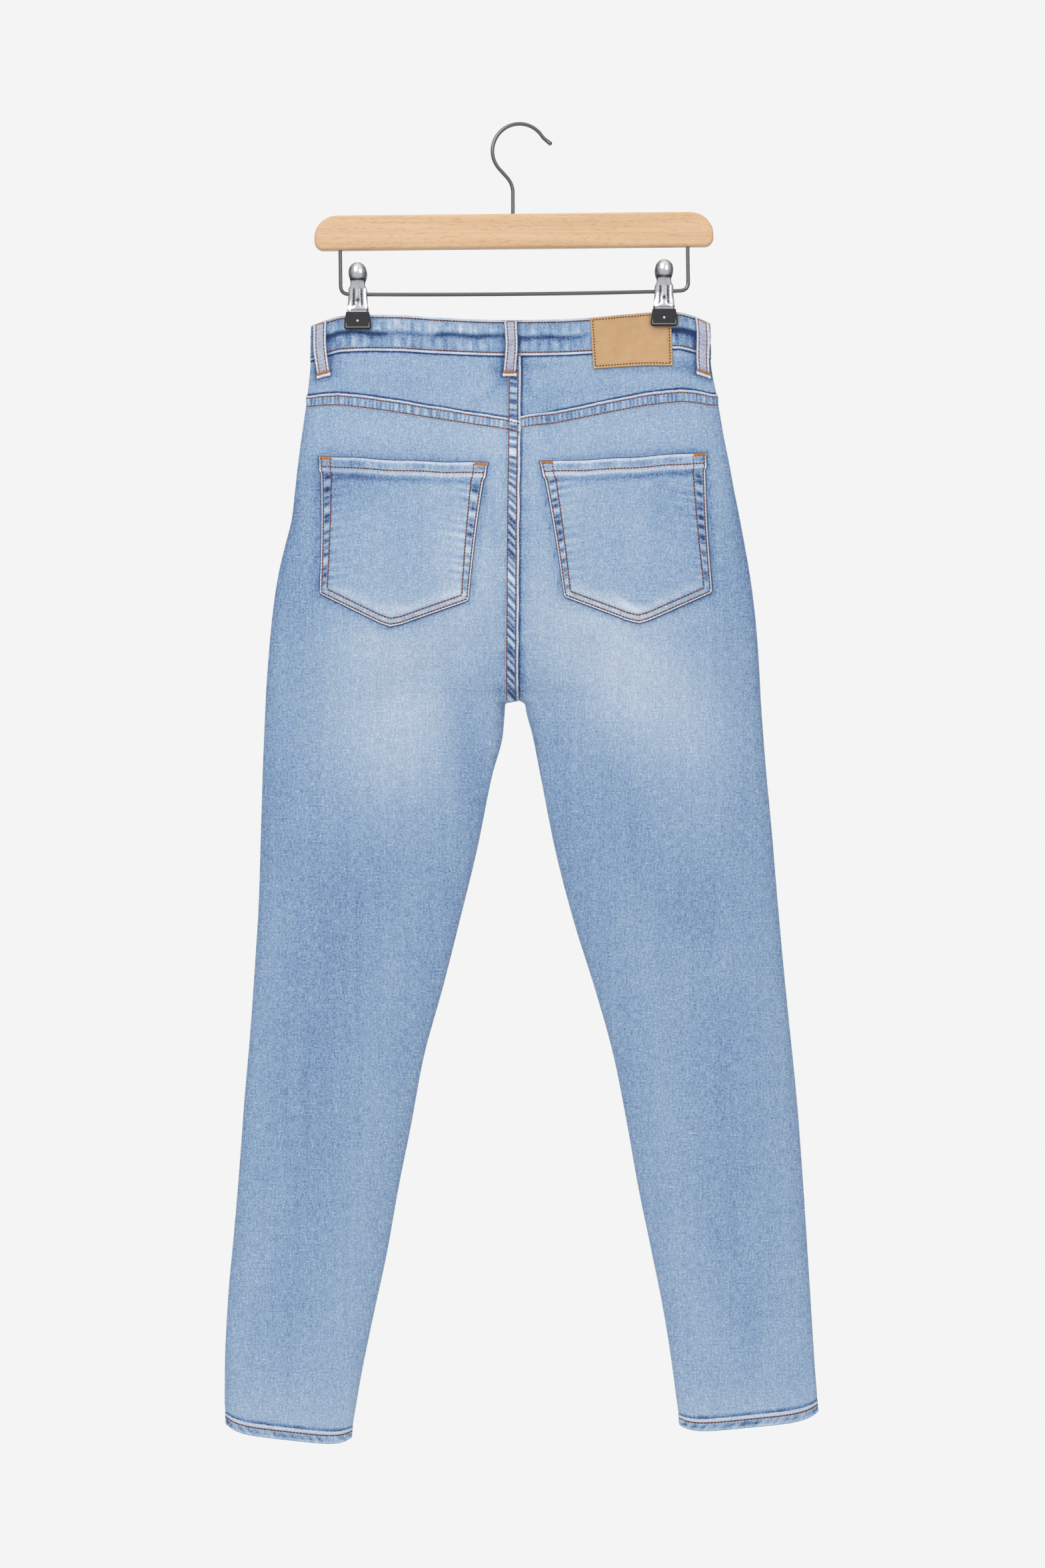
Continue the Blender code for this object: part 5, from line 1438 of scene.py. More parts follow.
def belt_loop(name, face, top_x, foot_x, made_of, seed):
    """A folded strip over the waistband, worn pale at its edges."""
    right = np.array([0.2, 0.35, 0.45, 0.52, 0.57, 0.62, 0.68, 0.76, 0.84, 0.9, 0.95, 0.985, 1.0])
    u = np.concatenate([-right[::-1], [0.0], right])
    share = np.concatenate([np.linspace(0.0, 0.05, 9), np.linspace(0.06, 0.9, 56),
                            np.linspace(0.907, 1.0, 24)])
    u, share = np.meshgrid(u, share)
    length = LOOP_FOOT - LOOP_TOP
    pucker = ripple(share * length + 1.5 * np.abs(u), 4.2, seed)
    worn = drift(share * length, 22.0, seed + 40)
    edge = rounding(1.0 - np.abs(u), 0.16)
    ends = bump_at(share, 0.0, 0.010) + bump_at(share, 1.0, 0.010)
    out = -0.7 * edge - 0.6 * ends + 0.12 * pucker * smooth(np.abs(u), 0.3, 0.6)
    # Pale worn edges and a pale worn fold at the foot; painted shade in the stitch grooves, along the
    # turned-down sides, in the tuck above the foot and under its end.
    tone = 0.68 + 0.32 * bump_at(np.abs(u), 0.82, 0.13) - 0.10 * bump_at(np.abs(u), LOOP_ROW, 0.07)
    tone = tone - 0.12 * worn * bump_at(u, 0.0, 0.42) + 0.06 * pucker
    tone = tone + 0.40 * bump_at(share, 0.968, 0.020) - 0.95 * bump_at(np.abs(u), 1.0, 0.045)
    tone = tone - 0.30 * bump_at(share, 0.888, 0.012) - 0.8 * bump_at(share, 1.0, 0.009)
    outer = loop_surface(face, top_x, foot_x, u, share, out)
    inner = loop_surface(face, top_x, foot_x, u, share, -LOOP_WALL + 0.6 * edge)
    flat = np.stack([u * LOOP_WIDTH / 2 + 40.0 * seed, share * length], -1)
    made = shell("loop_" + name.removeprefix("belt_loop_"), outer, inner, made_of, tone, flat,
                 [name])
    return made


def pocket_corners(side):
    return dict(zip(POCKET_COLUMNS, np.array(POCKETS[side], float)))


def pocket_bend(side):
    """Where across the pocket its foot's point lies."""
    corners = pocket_corners(side)
    reach = corners["inner_foot"][0] - corners["outer_foot"][0]
    return (corners["point"][0] - corners["outer_foot"][0]) / reach


def pocket_place(side, across, share):
    """x and drop of a place on a back pocket, from its top edge to its pointed foot. The foot's
    corners are rounded, and the sides of the hem stand out a little past the sides below it."""
    corners, bend = pocket_corners(side), pocket_bend(side)
    outer_top, inner_top = corners["outer_top"], corners["inner_top"]
    outer_foot, point, inner_foot = (corners[n] for n in ("outer_foot", "point", "inner_foot"))
    top = [outer_top[k] + (inner_top[k] - outer_top[k]) * across for k in (0, 1)]
    first, second = np.clip(across / bend, 0, 1), np.clip((across - bend) / (1 - bend), 0, 1)
    foot = [
        np.where(
            across < bend,
            outer_foot[k] + (point[k] - outer_foot[k]) * first,
            point[k] + (inner_foot[k] - point[k]) * second,
        )
        for k in (0, 1)
    ]
    wide = np.abs(inner_foot[0] - outer_foot[0])
    corner = np.clip(1.0 - np.minimum(across, 1 - across) * wide / 4.0, 0, 1)
    raised = 3.2 * (1.0 - np.sqrt(1.0 - corner**2)) + 1.3 * bump_at(across, bend, 0.045)
    sag = 1.5 * np.sin(np.pi * across) * (1 - share) ** 2
    sag = sag + 0.35 * np.sin(across * 19.0) * (1 - share) ** 3
    x = top[0] + (foot[0] - top[0]) * share
    drop = top[1] + (foot[1] - raised - top[1]) * share + sag
    middle = (outer_top[0] + inner_top[0]) / 2
    below_hem = smooth(drop - top[1], POCKET_HEM - 1.0, POCKET_HEM + 1.5)
    curved = 1.3 * np.sin(np.pi * np.clip(share, 0, 1))
    return x + np.sign(middle - x) * (2 * np.abs(across - 0.5)) * (1.3 * below_hem + curved), drop


def pocket_seat(across, share):
    """How far the pocket's outer face stands off the seat: flat at its stitched edges."""
    arch = np.sin(np.pi * np.clip(across, 0, 1))
    bulge = arch**0.8 * np.sin(np.pi * np.clip(share, 0, 1)) ** 0.8
    return SEAT_GAP + DENIM + 0.5 * bulge + 0.7 * arch * (1.0 - share) ** 3


def pocket_rows(side, from_top, from_foot, left_half):
    """How far in from the edge the two rows of stitches lie: close together at the foot."""
    wide = POCKET_ROWS[side][0 if left_half else 1]
    down = np.clip(from_top / (from_top + from_foot), 0.0, 1.0)
    return POCKET_FIRST_ROW - 0.3 * down, POCKET_FIRST_ROW + wide + (4.6 - wide) * down**0.8


def pocket_cloth(side, made_of, seed):
    """A patch pocket: a turned hem at the top, two stitched rows round its other sides."""
    inset = np.array([0.0, 0.0015, 0.004, 0.007, 0.011, 0.015, 0.019, 0.024, 0.029, 0.035, 0.041,
                      0.047, 0.053, 0.059, 0.065, 0.071, 0.077, 0.083])
    across = np.concatenate([inset, np.linspace(0.09, 0.91, 70), 1 - inset[::-1]])
    bend = pocket_bend(side)
    across[np.abs(across - bend).argmin()] = bend
    share = np.concatenate([
        np.array([0.0, 0.003, 0.007, 0.012, 0.018, 0.026, 0.036, 0.046, 0.056, 0.062, 0.068, 0.074,
                  0.08, 0.088, 0.095, 0.101, 0.107, 0.113, 0.12, 0.128, 0.137]),
        np.linspace(0.147, 0.91, 92),
        1 - np.array([0.083, 0.076, 0.07, 0.064, 0.058, 0.052, 0.046, 0.041, 0.036, 0.031, 0.026,
                      0.022, 0.018, 0.014, 0.011, 0.008, 0.005, 0.0025, 0.0]),
    ])
    across, share = np.meshgrid(across, share)
    x, drop = pocket_place(side, across, share)
    corners = pocket_corners(side)
    width = np.abs(corners["inner_top"][0] - corners["outer_top"][0])
    foot_tall = pocket_place(side, across, 1.0)[1] - pocket_place(side, across, 0.0)[1]
    from_side = np.minimum(across, 1 - across) * width * (1 - 0.08 * share)
    from_foot = (1 - share) * foot_tall * 0.95
    from_top = share * foot_tall
    rim = np.minimum(from_side, from_foot)
    on_left = across < 0.5
    left_rows, right_rows = (pocket_rows(side, from_top, from_foot, half) for half in (True, False))
    row_out, row_in = (np.where(on_left, *rows) for rows in zip(left_rows, right_rows))
    on_side = smooth(from_foot - from_side, -2.0, 3.0)
    way = np.where(from_side < from_foot, drop, x + 700.0) + np.where(on_left, 0.0, 400.0)
    dark = blots(way + rim * 0.3, 7.8, seed) * (1.0 - 0.30 * smooth(from_top, 55.0, 110.0))
    slanted = ripple(way + rim * 0.15, 7.2, seed + 4)
    fine = ripple(way, 2.8, seed + 1)
    worn = drift(way, 36.0, seed + 2)
    below = smooth(from_top, POCKET_HEM, POCKET_HEM + 2.5)
    between = smooth(rim, row_out + 0.2, row_out + 1.2) * smooth(row_in - 0.1 - rim, 0.0, 1.0)
    drag = np.exp(-np.clip(rim - row_in, 0, 80) / 11.0) * smooth(rim, row_in - 0.5, row_in + 1.0)
    drag = drag * below * on_side * (0.25 + 0.75 * worn)
    hem = smooth(POCKET_HEM - from_top, 0.0, 1.2)
    edge = np.maximum(rounding(rim, 0.8), rounding(from_top, 0.9))
    stitched = np.maximum(bump_at(rim, row_out, 0.45), bump_at(rim, row_in, 0.45))
    stitched = np.maximum(stitched * smooth(from_top, 1.0, 3.0), bump_at(from_top, POCKET_HEM_ROW, 0.5))
    side_zone, foot_zone = between * below * on_side, between * below * (1 - on_side)
    core = bump_at(rim, row_out + 0.45 * (row_in - row_out), 0.55 * (row_in - row_out))
    out = side_zone * (0.22 - 0.60 * dark * core) + foot_zone * (0.08 - 0.2 * dark)
    out = out + 0.26 * drag * slanted - 0.24 * stitched - 0.75 * edge
    out = out + hem * (0.35 * smooth(rim, 0.5, 3.0) + 0.1 * ripple(x, 8.0, seed + 3))
    out = out - 0.35 * bump_at(from_top, POCKET_HEM + 1.5, 1.8)
    tone = side_zone * (0.22 - 1.05 * dark * core + 0.08 * fine - 0.10 * worn)
    tone = tone + foot_zone * (0.12 - 0.20 * dark + 0.05 * fine)
    tone = tone + 0.36 * drag * slanted - 0.06 * drag
    # A pale worn rim inside a painted shadow line along the pocket's edge, and the same along its top edge.
    tone = tone + 0.40 * bump_at(rim, 1.65, 0.75) - 1.1 * smooth(0.85 - rim, 0.0, 0.3)
    tone = tone + 0.28 * bump_at(from_top, 2.0, 1.1) - 1.0 * smooth(0.9 - from_top, 0.0, 0.3)
    tone = tone + hem * (0.10 + 0.12 * ripple(x, 6.5, seed + 3) * bump_at(from_top, 5.5, 2.4))
    tone = tone - hem * 0.38 * drift(x, 30.0, seed + 6) * bump_at(from_top, 5.8, 2.3)
    # A pale band on the hem and painted shade in the stitched grooves; then painted shadow under the hem,
    # deeper towards the pocket's outer side.
    tone = tone + 0.16 * bump_at(from_top, 12.9, 1.7) - 0.06 * stitched
    under = 0.20 + 0.18 * smooth(corners["inner_top"][0] - x if side == "left" else x, 20.0, 150.0)
    tone = tone - under * bump_at(from_top, POCKET_HEM + 2.6, 2.6) * smooth(rim, 2.0, 6.0)
    tone = tone + 0.13 * bump_at(from_foot, row_in + 3.0, 6.0) * smooth(rim, row_in, row_in + 3.0)
    tone = tone + hip_wash_and_shade("back", x, drop)
    seat = pocket_seat(across, share)
    outer = hip_moved("back", x, drop, seat + out)
    inner = hip_moved("back", x, drop, seat + 0.6 * out - DENIM - 0.15 + 0.3 * edge)
    return shell(f"pocket_cloth_{side}", outer, inner, made_of, tone, weave_place("pocket", x, drop),
                 [f"back_pocket_{side}"])


def patch_place(u, v):
    """x and drop of a place on the patch, which is sewn on a little askew."""
    wide, tall = PATCH_RIGHT - PATCH_LEFT, PATCH_FOOT - PATCH_TOP
    x = PATCH_LEFT - 1.1 + u + (2.9 - 1.7 * u / wide) * v / tall
    return x, PATCH_TOP + v + (1.8 + 1.0 * u / wide) * smooth(v, 8.0, tall)


def patch_bare(made_of):
    """The leather patch, left bare, over the waistband and the top of the yoke."""
    inset = np.array([0.0, 0.2, 0.5, 0.9, 1.3, 1.7, 2.1, 2.6, 3.2, 4.0])
    wide, tall = PATCH_RIGHT - PATCH_LEFT, PATCH_FOOT - PATCH_TOP
    u = np.concatenate([inset, np.linspace(5.0, wide - 5.0, 56), wide - inset[::-1]])
    v = np.concatenate([inset, np.linspace(5.0, tall - 5.0, 32), tall - inset[::-1]])
    u, v = np.meshgrid(u, v)
    rim = np.minimum(np.minimum(u, wide - u), np.minimum(v, tall - v))
    edge = rounding(rim, 0.5)
    groove = bump_at(rim, PATCH_ROW, 0.55)
    wave = 0.25 * np.sin(u / 9.0 + 0.6) * np.sin(v / 13.0) + 0.15 * np.sin(u / 4.3 + v / 6.0)
    scallop = 0.12 * np.sin(2 * np.pi * (u + v) / (PATCH_PITCH * 2)) * bump_at(rim, 1.0, 0.7)
    seat = SEAT_GAP + BAND_PROUD + PATCH_WALL
    x, drop = patch_place(u, v)
    out = seat + wave * smooth(rim, 1.0, 6.0) - 0.5 * edge - 0.25 * groove + scallop
    outer = hip_moved("back", x, drop, out)
    inner = hip_moved("back", x, drop, np.full(u.shape, seat - PATCH_WALL + 0.1))
    tone = 0.66 - 0.30 * edge - 0.10 * groove + 0.07 * bump_at(rim, 1.0, 0.6)
    tone = tone - 0.10 * bump_at(rim, 3.6, 1.6) * drift(u + 2 * v, 23.0, 5)
    made = shell("patch_bare", outer, inner, made_of, tone, np.stack([u, v], -1),
                 ["leather_patch"])
    return made


def facing_cloth(side, made_of):
    """The piece of the hip that shows in a front pocket's opening."""
    top, foot = BAND_HEIGHT, BAND_HEIGHT + SCOOP_DEPTH
    drops = np.linspace(top, foot + FACING_MARGIN - 2.0, 40)
    places, drop = grid_of(np.linspace(0.0, 1.0, 44) ** 1.6, drops)
    width = face_width(side, drop)
    across = scoop_width(drop, FACING_MARGIN) / width * places
    x, _ = place_on(side, across, drop)
    sunk = DENIM + LAID_GAP * 0.5 + FACING_SUNK * smooth(drop, foot - 22.0, foot - 6.0)
    sunk = sunk * smooth(across * width, -0.5, 3.0)
    under = scoop_width(drop) - across * width
    tone = wash_and_shade("front", x, drop, across) - 0.04
    # Painted shadow where the pocket opening's edge overhangs the facing.
    tone = tone - 0.55 * bump_at(under, 0.4, 1.1) - 0.10 * bump_at(under, 2.0, 5.0)
    outer = cloth_moved("front", side, across, drop, -sunk)
    inner = cloth_moved("front", side, across, drop, -sunk - FACING_WALL)
    return shell(f"facing_cloth_{side}", outer, inner, made_of, tone, weave_place("facing", x, drop),
                 [f"pocket_facing_{side}"])


def fly_width(drop):
    turn = np.clip((drop - FLY_CURVE) / (FLY_FOOT - FLY_CURVE), 0.0, 1.0)
    return 5.0 + (FLY_WIDTH - 5.0) * np.sqrt(np.clip(1.0 - turn**2.2, 0.0, 1.0))


def fly_cloth(made_of):
    """The fly's doubled edge on the left front."""
    straight, curved = np.linspace(BAND_HEIGHT, FLY_CURVE, 50), np.linspace(130.0, FLY_FOOT, 30)
    drops = np.concatenate([straight, curved])
    places, drop = grid_of(across_places(30), drops)
    width = fly_width(drop)
    x = 1.2 - (width + 1.2) * (1.0 - places)
    rim = np.minimum(places, 1 - places) * width
    pucker = ripple(drop + x * 0.3, 6.2, 71)
    near = smooth(9.0 - (1 - places) * width, 0.0, 3.0)
    out = 0.2 + FLY_WALL - 0.6 * rounding(rim, 0.8) + 0.16 * near * pucker
    tone = hip_wash_and_shade("front", x, drop)
    # A pale worn edge inside a painted shadow line along the fly's outline.
    tone = tone + 0.36 * bump_at(rim, 1.1, 0.8) - 0.7 * smooth(0.6 - rim, 0.0, 0.3)
    between = smooth(rim, 2.4, 3.4) * smooth(8.0 - rim, 0.0, 1.0) * (places < 0.6)
    tone = tone + 0.05 * near * pucker + between * (0.08 - 0.42 * blots(drop, 6.8, 72))
    outer = hip_moved("front", x, drop, out)
    inner = hip_moved("front", x, drop, np.full(x.shape, 0.12))
    flat = weave_place("fly", x, drop)
    made = shell("fly_cloth", outer, inner, made_of, tone, flat, ["fly"])
    return made


# Stitches


def on_hip(face, x, drop, base):
    return lambda out: hip_moved(face, x, drop, base + out)


def sew_band(thread):
    """Rows at the top and the foot of the waistband, all round."""
    for drop, out in zip(BAND_ROWS, (0.55, 0.56)):
        for face in ("back", "front"):
            left = float(edges("left", drop)[0]) + 0.5
            right = float(edges("right", drop)[0]) - 0.5
            last, count = (right, 700) if face == "back" else (OVERLAP - 1.5, 380)
            x = np.linspace(left, last, count)
            thread.row(on_hip(face, x, np.full(len(x), drop), out), tone=0.3)
            if face == "front":
                x = np.linspace(OVERLAP + 9.0, right, 320)
                thread.row(on_hip(face, x, np.full(len(x), drop), out), tone=0.3)


def sew_fells(thread):
    """Two rows along each felled seam."""
    for side in ("left", "right"):
        x, drop, _, _ = yoke_path(side)
        for share in FELL_ROWS:
            thread.row(on_hip("back", x, drop + share * FELL_WIDTH, FELL_PROUD - 0.2))
    x, drop, _, _ = centre_path()
    for share in FELL_ROWS:
        thread.row(on_hip("back", x - share * FELL_WIDTH, drop, FELL_PROUD - 0.1), tone=0.5)
    x = np.linspace(-11.6, 0.2, 14)
    for share in FELL_ROWS:
        thread.row(on_hip("back", x, crossing(x) + share * FELL_WIDTH, FELL_PROUD + 0.3))
    drop = np.arange(FLY_FOOT + 2.0, 343.0, 1.5)
    for row in CENTRE_FRONT_ROWS:
        thread.row(on_hip("front", np.full(len(drop), -row), drop, 0.1))


def sew_pocket(thread, tacks, side):
    """The hem's row and two rows round the sides and the foot of a back pocket."""
    corners, bend = pocket_corners(side), pocket_bend(side)
    width = abs(corners["inner_top"][0] - corners["outer_top"][0])

    def surface(across, share, out):
        x, drop = pocket_place(side, across, share)
        return hip_moved("back", x, drop, pocket_seat(across, share) + out)

    def tall(across):
        return pocket_place(side, across, 1.0)[1] - pocket_place(side, across, 0.0)[1]

    def row_at(which, left_half, share):
        """Across and share of a point of a row beside the pocket's side."""
        height = tall(np.full(np.shape(share), 0.05 if left_half else 0.95))
        inset = pocket_rows(side, share * height, (1 - share) * height, left_half)[which]
        across = inset / (width * (1 - 0.08 * share))
        return across if left_half else 1 - across

    t = np.linspace(0.016, 0.984, 160)
    thread.row(lambda out: surface(t, POCKET_HEM_ROW / tall(t), 0.15 + out), tone=0.45)
    for which, gap in enumerate(pocket_rows(side, 150.0, 0.0, True)):
        last = 1.0 - (gap + 1.2) / (tall(np.array([0.06]))[0] * 0.95)
        down = np.linspace(0.012, last, 150)
        near = gap / (width * 0.92)
        along = np.concatenate([np.linspace(near, bend, 60), np.linspace(bend, 1 - near, 60)[1:]])
        level = 1.0 - gap / (tall(along) * 0.95)
        for left_half in (True, False):
            places = row_at(which, left_half, down)
            thread.row(lambda out: surface(places, down, -0.05 + out), tone=0.4)
        thread.row(lambda out: surface(along, level, -0.05 + out), tone=0.4)
    for start, end in ((0.010, 0.080), (0.920, 0.990)):
        tacks.tack(
            lambda u, v, out: surface(start + (end - start) * u, 0.004 + 0.024 * v, SEAT_GAP + out),
            (end - start) * width,
        )


def sew_loops(thread, tacks):
    """Two fine rows along each belt loop, and a bar tack at both its ends."""
    share = np.linspace(0.03, 0.90, 90)
    for _, *loop in LOOPS:
        for u in (-LOOP_ROW, LOOP_ROW):
            thread.row(
                lambda out: loop_surface(*loop, np.full(90, u), share, out - 0.02), radius=0.43, tone=0.4
            )
        for first, tall, wide in ((0.899, 0.036, 0.95), (0.010, 0.016, 0.66)):
            tacks.tack(
                lambda u, v, out: loop_surface(
                    *loop, wide * (2.0 * u - 1.0), np.full(np.shape(u), first + tall * v), 0.35 + out
                ),
                LOOP_WIDTH * wide * 1.1,
            )


def sew_hems(thread):
    """One row round each hem."""
    for side in ("left", "right"):
        for face in ("back", "front"):
            across = np.linspace(0.004, 0.996, 160)
            drop = np.full(160, hem_drop(side) - HEM_ROW)
            thread.row(
                lambda out: cloth_moved(face, side, across, drop, HEM_PROUD + 0.10 + out), tone=0.35
            )


def sew_front(thread):
    """Two rows along each pocket opening, and the fly's J."""
    for side in ("left", "right"):
        for inset in SCOOP_ROWS:
            down = np.linspace(0.0, 1.0, 120) ** 0.75
            drop = BAND_HEIGHT + 1.5 + (SCOOP_DEPTH + inset - 2.5) * down
            across = np.clip(scoop_width(drop, inset) / face_width(side, drop), 0.006, 1)
            thread.row(lambda out: cloth_moved("front", side, across, drop, 0.05 + out))
    straight, curved = np.linspace(BAND_HEIGHT + 2.0, FLY_CURVE, 70), np.linspace(130.0, FLY_FOOT - 1.5, 50)
    drop = np.concatenate([straight, curved])
    for inset in FLY_ROWS:
        x = -np.clip(fly_width(drop) - inset, 1.5, None)
        thread.row(on_hip("front", x, drop, FLY_WALL + 0.1))
    x = np.full(60, -1.4)
    thread.row(on_hip("front", x, np.linspace(BAND_HEIGHT + 2.0, 165.0, 60), FLY_WALL + 0.1))


def sew_patch(thread):
    """A row of spaced stitches inside the patch's border."""
    wide, tall = PATCH_RIGHT - PATCH_LEFT, PATCH_FOOT - PATCH_TOP
    seat = SEAT_GAP + BAND_PROUD + PATCH_WALL - 0.06
    along, down = (np.linspace(PATCH_ROW, size - PATCH_ROW, n) for size, n in ((wide, 90), (tall, 60)))
    lines = [(along, np.full(90, v)) for v in (PATCH_ROW, tall - PATCH_ROW)]
    lines += [(np.full(60, u), down) for u in (PATCH_ROW, wide - PATCH_ROW)]
    gap = PATCH_PITCH / 2
    for u, v in lines:
        x, drop = patch_place(u, v)
        thread.row(on_hip("back", x, drop, seat), radius=0.55, length=gap, gap=gap, tone=0.1)


# Hanger and clips


def bar_place(along, up):
    """A point of the tilted hanger, in the XZ plane, from the middle of the bar's underside."""
    x = along * math.cos(BAR_TILT) - up * math.sin(BAR_TILT)
    z = along * math.sin(BAR_TILT) + up * math.cos(BAR_TILT)
    return BAR_CENTRE_X + x, BAR_TOP_Z - BAR_HEIGHT + z


def rounded(corners, radius, steps=9):
    corners = [np.array(c, float) for c in corners]
    path = [corners[0]]
    for before, corner, after in zip(corners, corners[1:], corners[2:]):
        back, on = before - corner, after - corner
        reach = min(radius, np.linalg.norm(back) / 2, np.linalg.norm(on) / 2)
        start = corner + back / np.linalg.norm(back) * reach
        end = corner + on / np.linalg.norm(on) * reach
        for t in np.linspace(0.0, 1.0, steps):
            path.append((1 - t) ** 2 * start + 2 * t * (1 - t) * corner + t * t * end)
    return path + [corners[-1]]


def sweep(name, path, radii, made_of, sides=16):
    """A round rod along a path in mm, with a radius at each of its points."""
    path = np.asarray(path, float)
    tangents = np.gradient(path, axis=0)
    tangents /= np.linalg.norm(tangents, axis=1, keepdims=True)
    aside = np.array([0.0, 1.0, 0.0])
    first = np.cross(tangents, aside)
    first /= np.linalg.norm(first, axis=1, keepdims=True)
    second = np.cross(tangents, first)
    turns = 2 * np.pi * np.arange(sides) / sides
    cosines, sines = np.cos(turns)[None, :, None], np.sin(turns)[None, :, None]
    around = first[:, None] * cosines + second[:, None] * sines
    rings = path[:, None] + around * np.asarray(radii)[:, None, None]
    return ringed(name, rings, made_of, 50.0)


def hook_wire(made_of):
    """The hook: an arc open to the wearer's right, with a small ball at its tip."""
    centre_z = WIRE_RADIUS - HOOK_RADIUS
    leaves, starts = math.radians(222.0), math.radians(33.0)
    arc = [
        (HOOK_RADIUS * math.cos(t), centre_z + HOOK_RADIUS * math.sin(t))
        for t in np.linspace(starts, leaves, 60)
    ]
    run = (SHAFT_X - arc[-1][0]) / -math.sin(leaves)
    neck = (SHAFT_X, arc[-1][1] + run * math.cos(leaves))
    foot_z = bar_place(SHAFT_X - BAR_CENTRE_X, BAR_HEIGHT)[1] - 8.0
    shaft = rounded([arc[-1], neck, (SHAFT_X, foot_z)], 8.0)[1:]
    lead = [(arc[0][0] + 7.0, arc[0][1] - 6.3), (arc[0][0] + 1.6, arc[0][1] - 2.0)]
    lead = rounded([lead[0], lead[1], arc[0]], 3.0, 4)[:-1]
    path = np.array([(x, 0.0, z) for x, z in lead + arc + shaft])
    radii = np.full(len(path), WIRE_RADIUS)
    ball = np.linspace(0.0, np.pi, 12)
    start = path[0]
    heading = (path[1] - path[0]) / np.linalg.norm(path[1] - path[0])
    tip_radius = 2.1
    tip = start - heading * (tip_radius * np.cos(ball)[:, None])
    tip_radii = np.maximum(tip_radius * np.sin(ball), 0.05)
    keep = tip_radii[::-1].searchsorted(WIRE_RADIUS)
    path = np.concatenate([tip[: len(tip) - keep], path[1:]])
    radii = np.concatenate([tip_radii[: len(tip_radii) - keep], radii[1:]])
    made = sweep("hook_wire", path, radii, made_of, 20)
    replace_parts(made, "hanger_hook")


def rail_height(along):
    return -RAIL_DROP - RAIL_SAG * (1.0 - (along / RAIL_HALF) ** 2)


def rail_wire(made_of):
    low, top = -RAIL_DROP, 8.0
    corners = [(-RAIL_HALF, top), (-RAIL_HALF, low), (-RAIL_HALF + 20.0, low)]
    left = rounded(corners, RAIL_BEND, 14)[:-1]
    middle = [(x, rail_height(x)) for x in np.linspace(-RAIL_HALF + 16.0, RAIL_HALF - 16.0, 60)]
    right = [(-x, z) for x, z in left[::-1]]
    path = [(x, 0.0, z) for x, z in (bar_place(*point) for point in left + middle + right)]
    made = sweep("rail_wire", path, np.full(len(path), WIRE_RADIUS), made_of)
    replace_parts(made, "clip_rail")


def bar_wood(made_of):
    """The wooden bar with softly rounded corners and long edges."""
    half_thick, edge = BAR_THICKNESS / 2, 2.8
    rings = []
    quarter = np.linspace(0.0, np.pi / 2, 9)
    levels = [
        (-half_thick + edge * (1 - math.sin(t)), edge * (1 - math.cos(t))) for t in quarter[::-1]
    ]
    levels += [(-y, inset) for y, inset in levels[::-1]]
    for y, inset in levels:
        half, tall = BAR_LENGTH / 2 - inset, BAR_HEIGHT - inset
        top_x, top_z, foot = 21.0 - inset, 20.0 - inset, 8.0 - inset
        right_foot = [
            (half - foot + foot * math.sin(t), inset + foot - foot * math.cos(t)) for t in quarter
        ]
        right = [(half - top_x + top_x * math.cos(t), tall - top_z + top_z * math.sin(t))
                 for t in np.linspace(0.0, np.pi / 2, 20)]
        outline = right_foot + right
        outline = outline + [(-x, z) for x, z in outline[::-1]]
        rings.append([(x, y, z) for x, z in (bar_place(*p) for p in outline)])
    verts = np.array(rings)
    count, around = verts.shape[:2]
    index = np.arange(count * around).reshape(count, around)
    faces = quads_round(index).tolist()
    for ring, flip in ((index[0].tolist(), False), (index[-1].tolist(), True)):
        for i in range(around // 2 - 1):
            quad = [ring[i], ring[i + 1], ring[around - 2 - i], ring[around - 1 - i]]
            faces.append(quad[::-1] if flip else quad)
    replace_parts(hard_piece("bar_wood", verts, faces, made_of, 35.0), "hanger_bar")


def rail_at(x):
    along = (x - BAR_CENTRE_X) / math.cos(BAR_TILT)
    return bar_place(along, rail_height(along))[1]


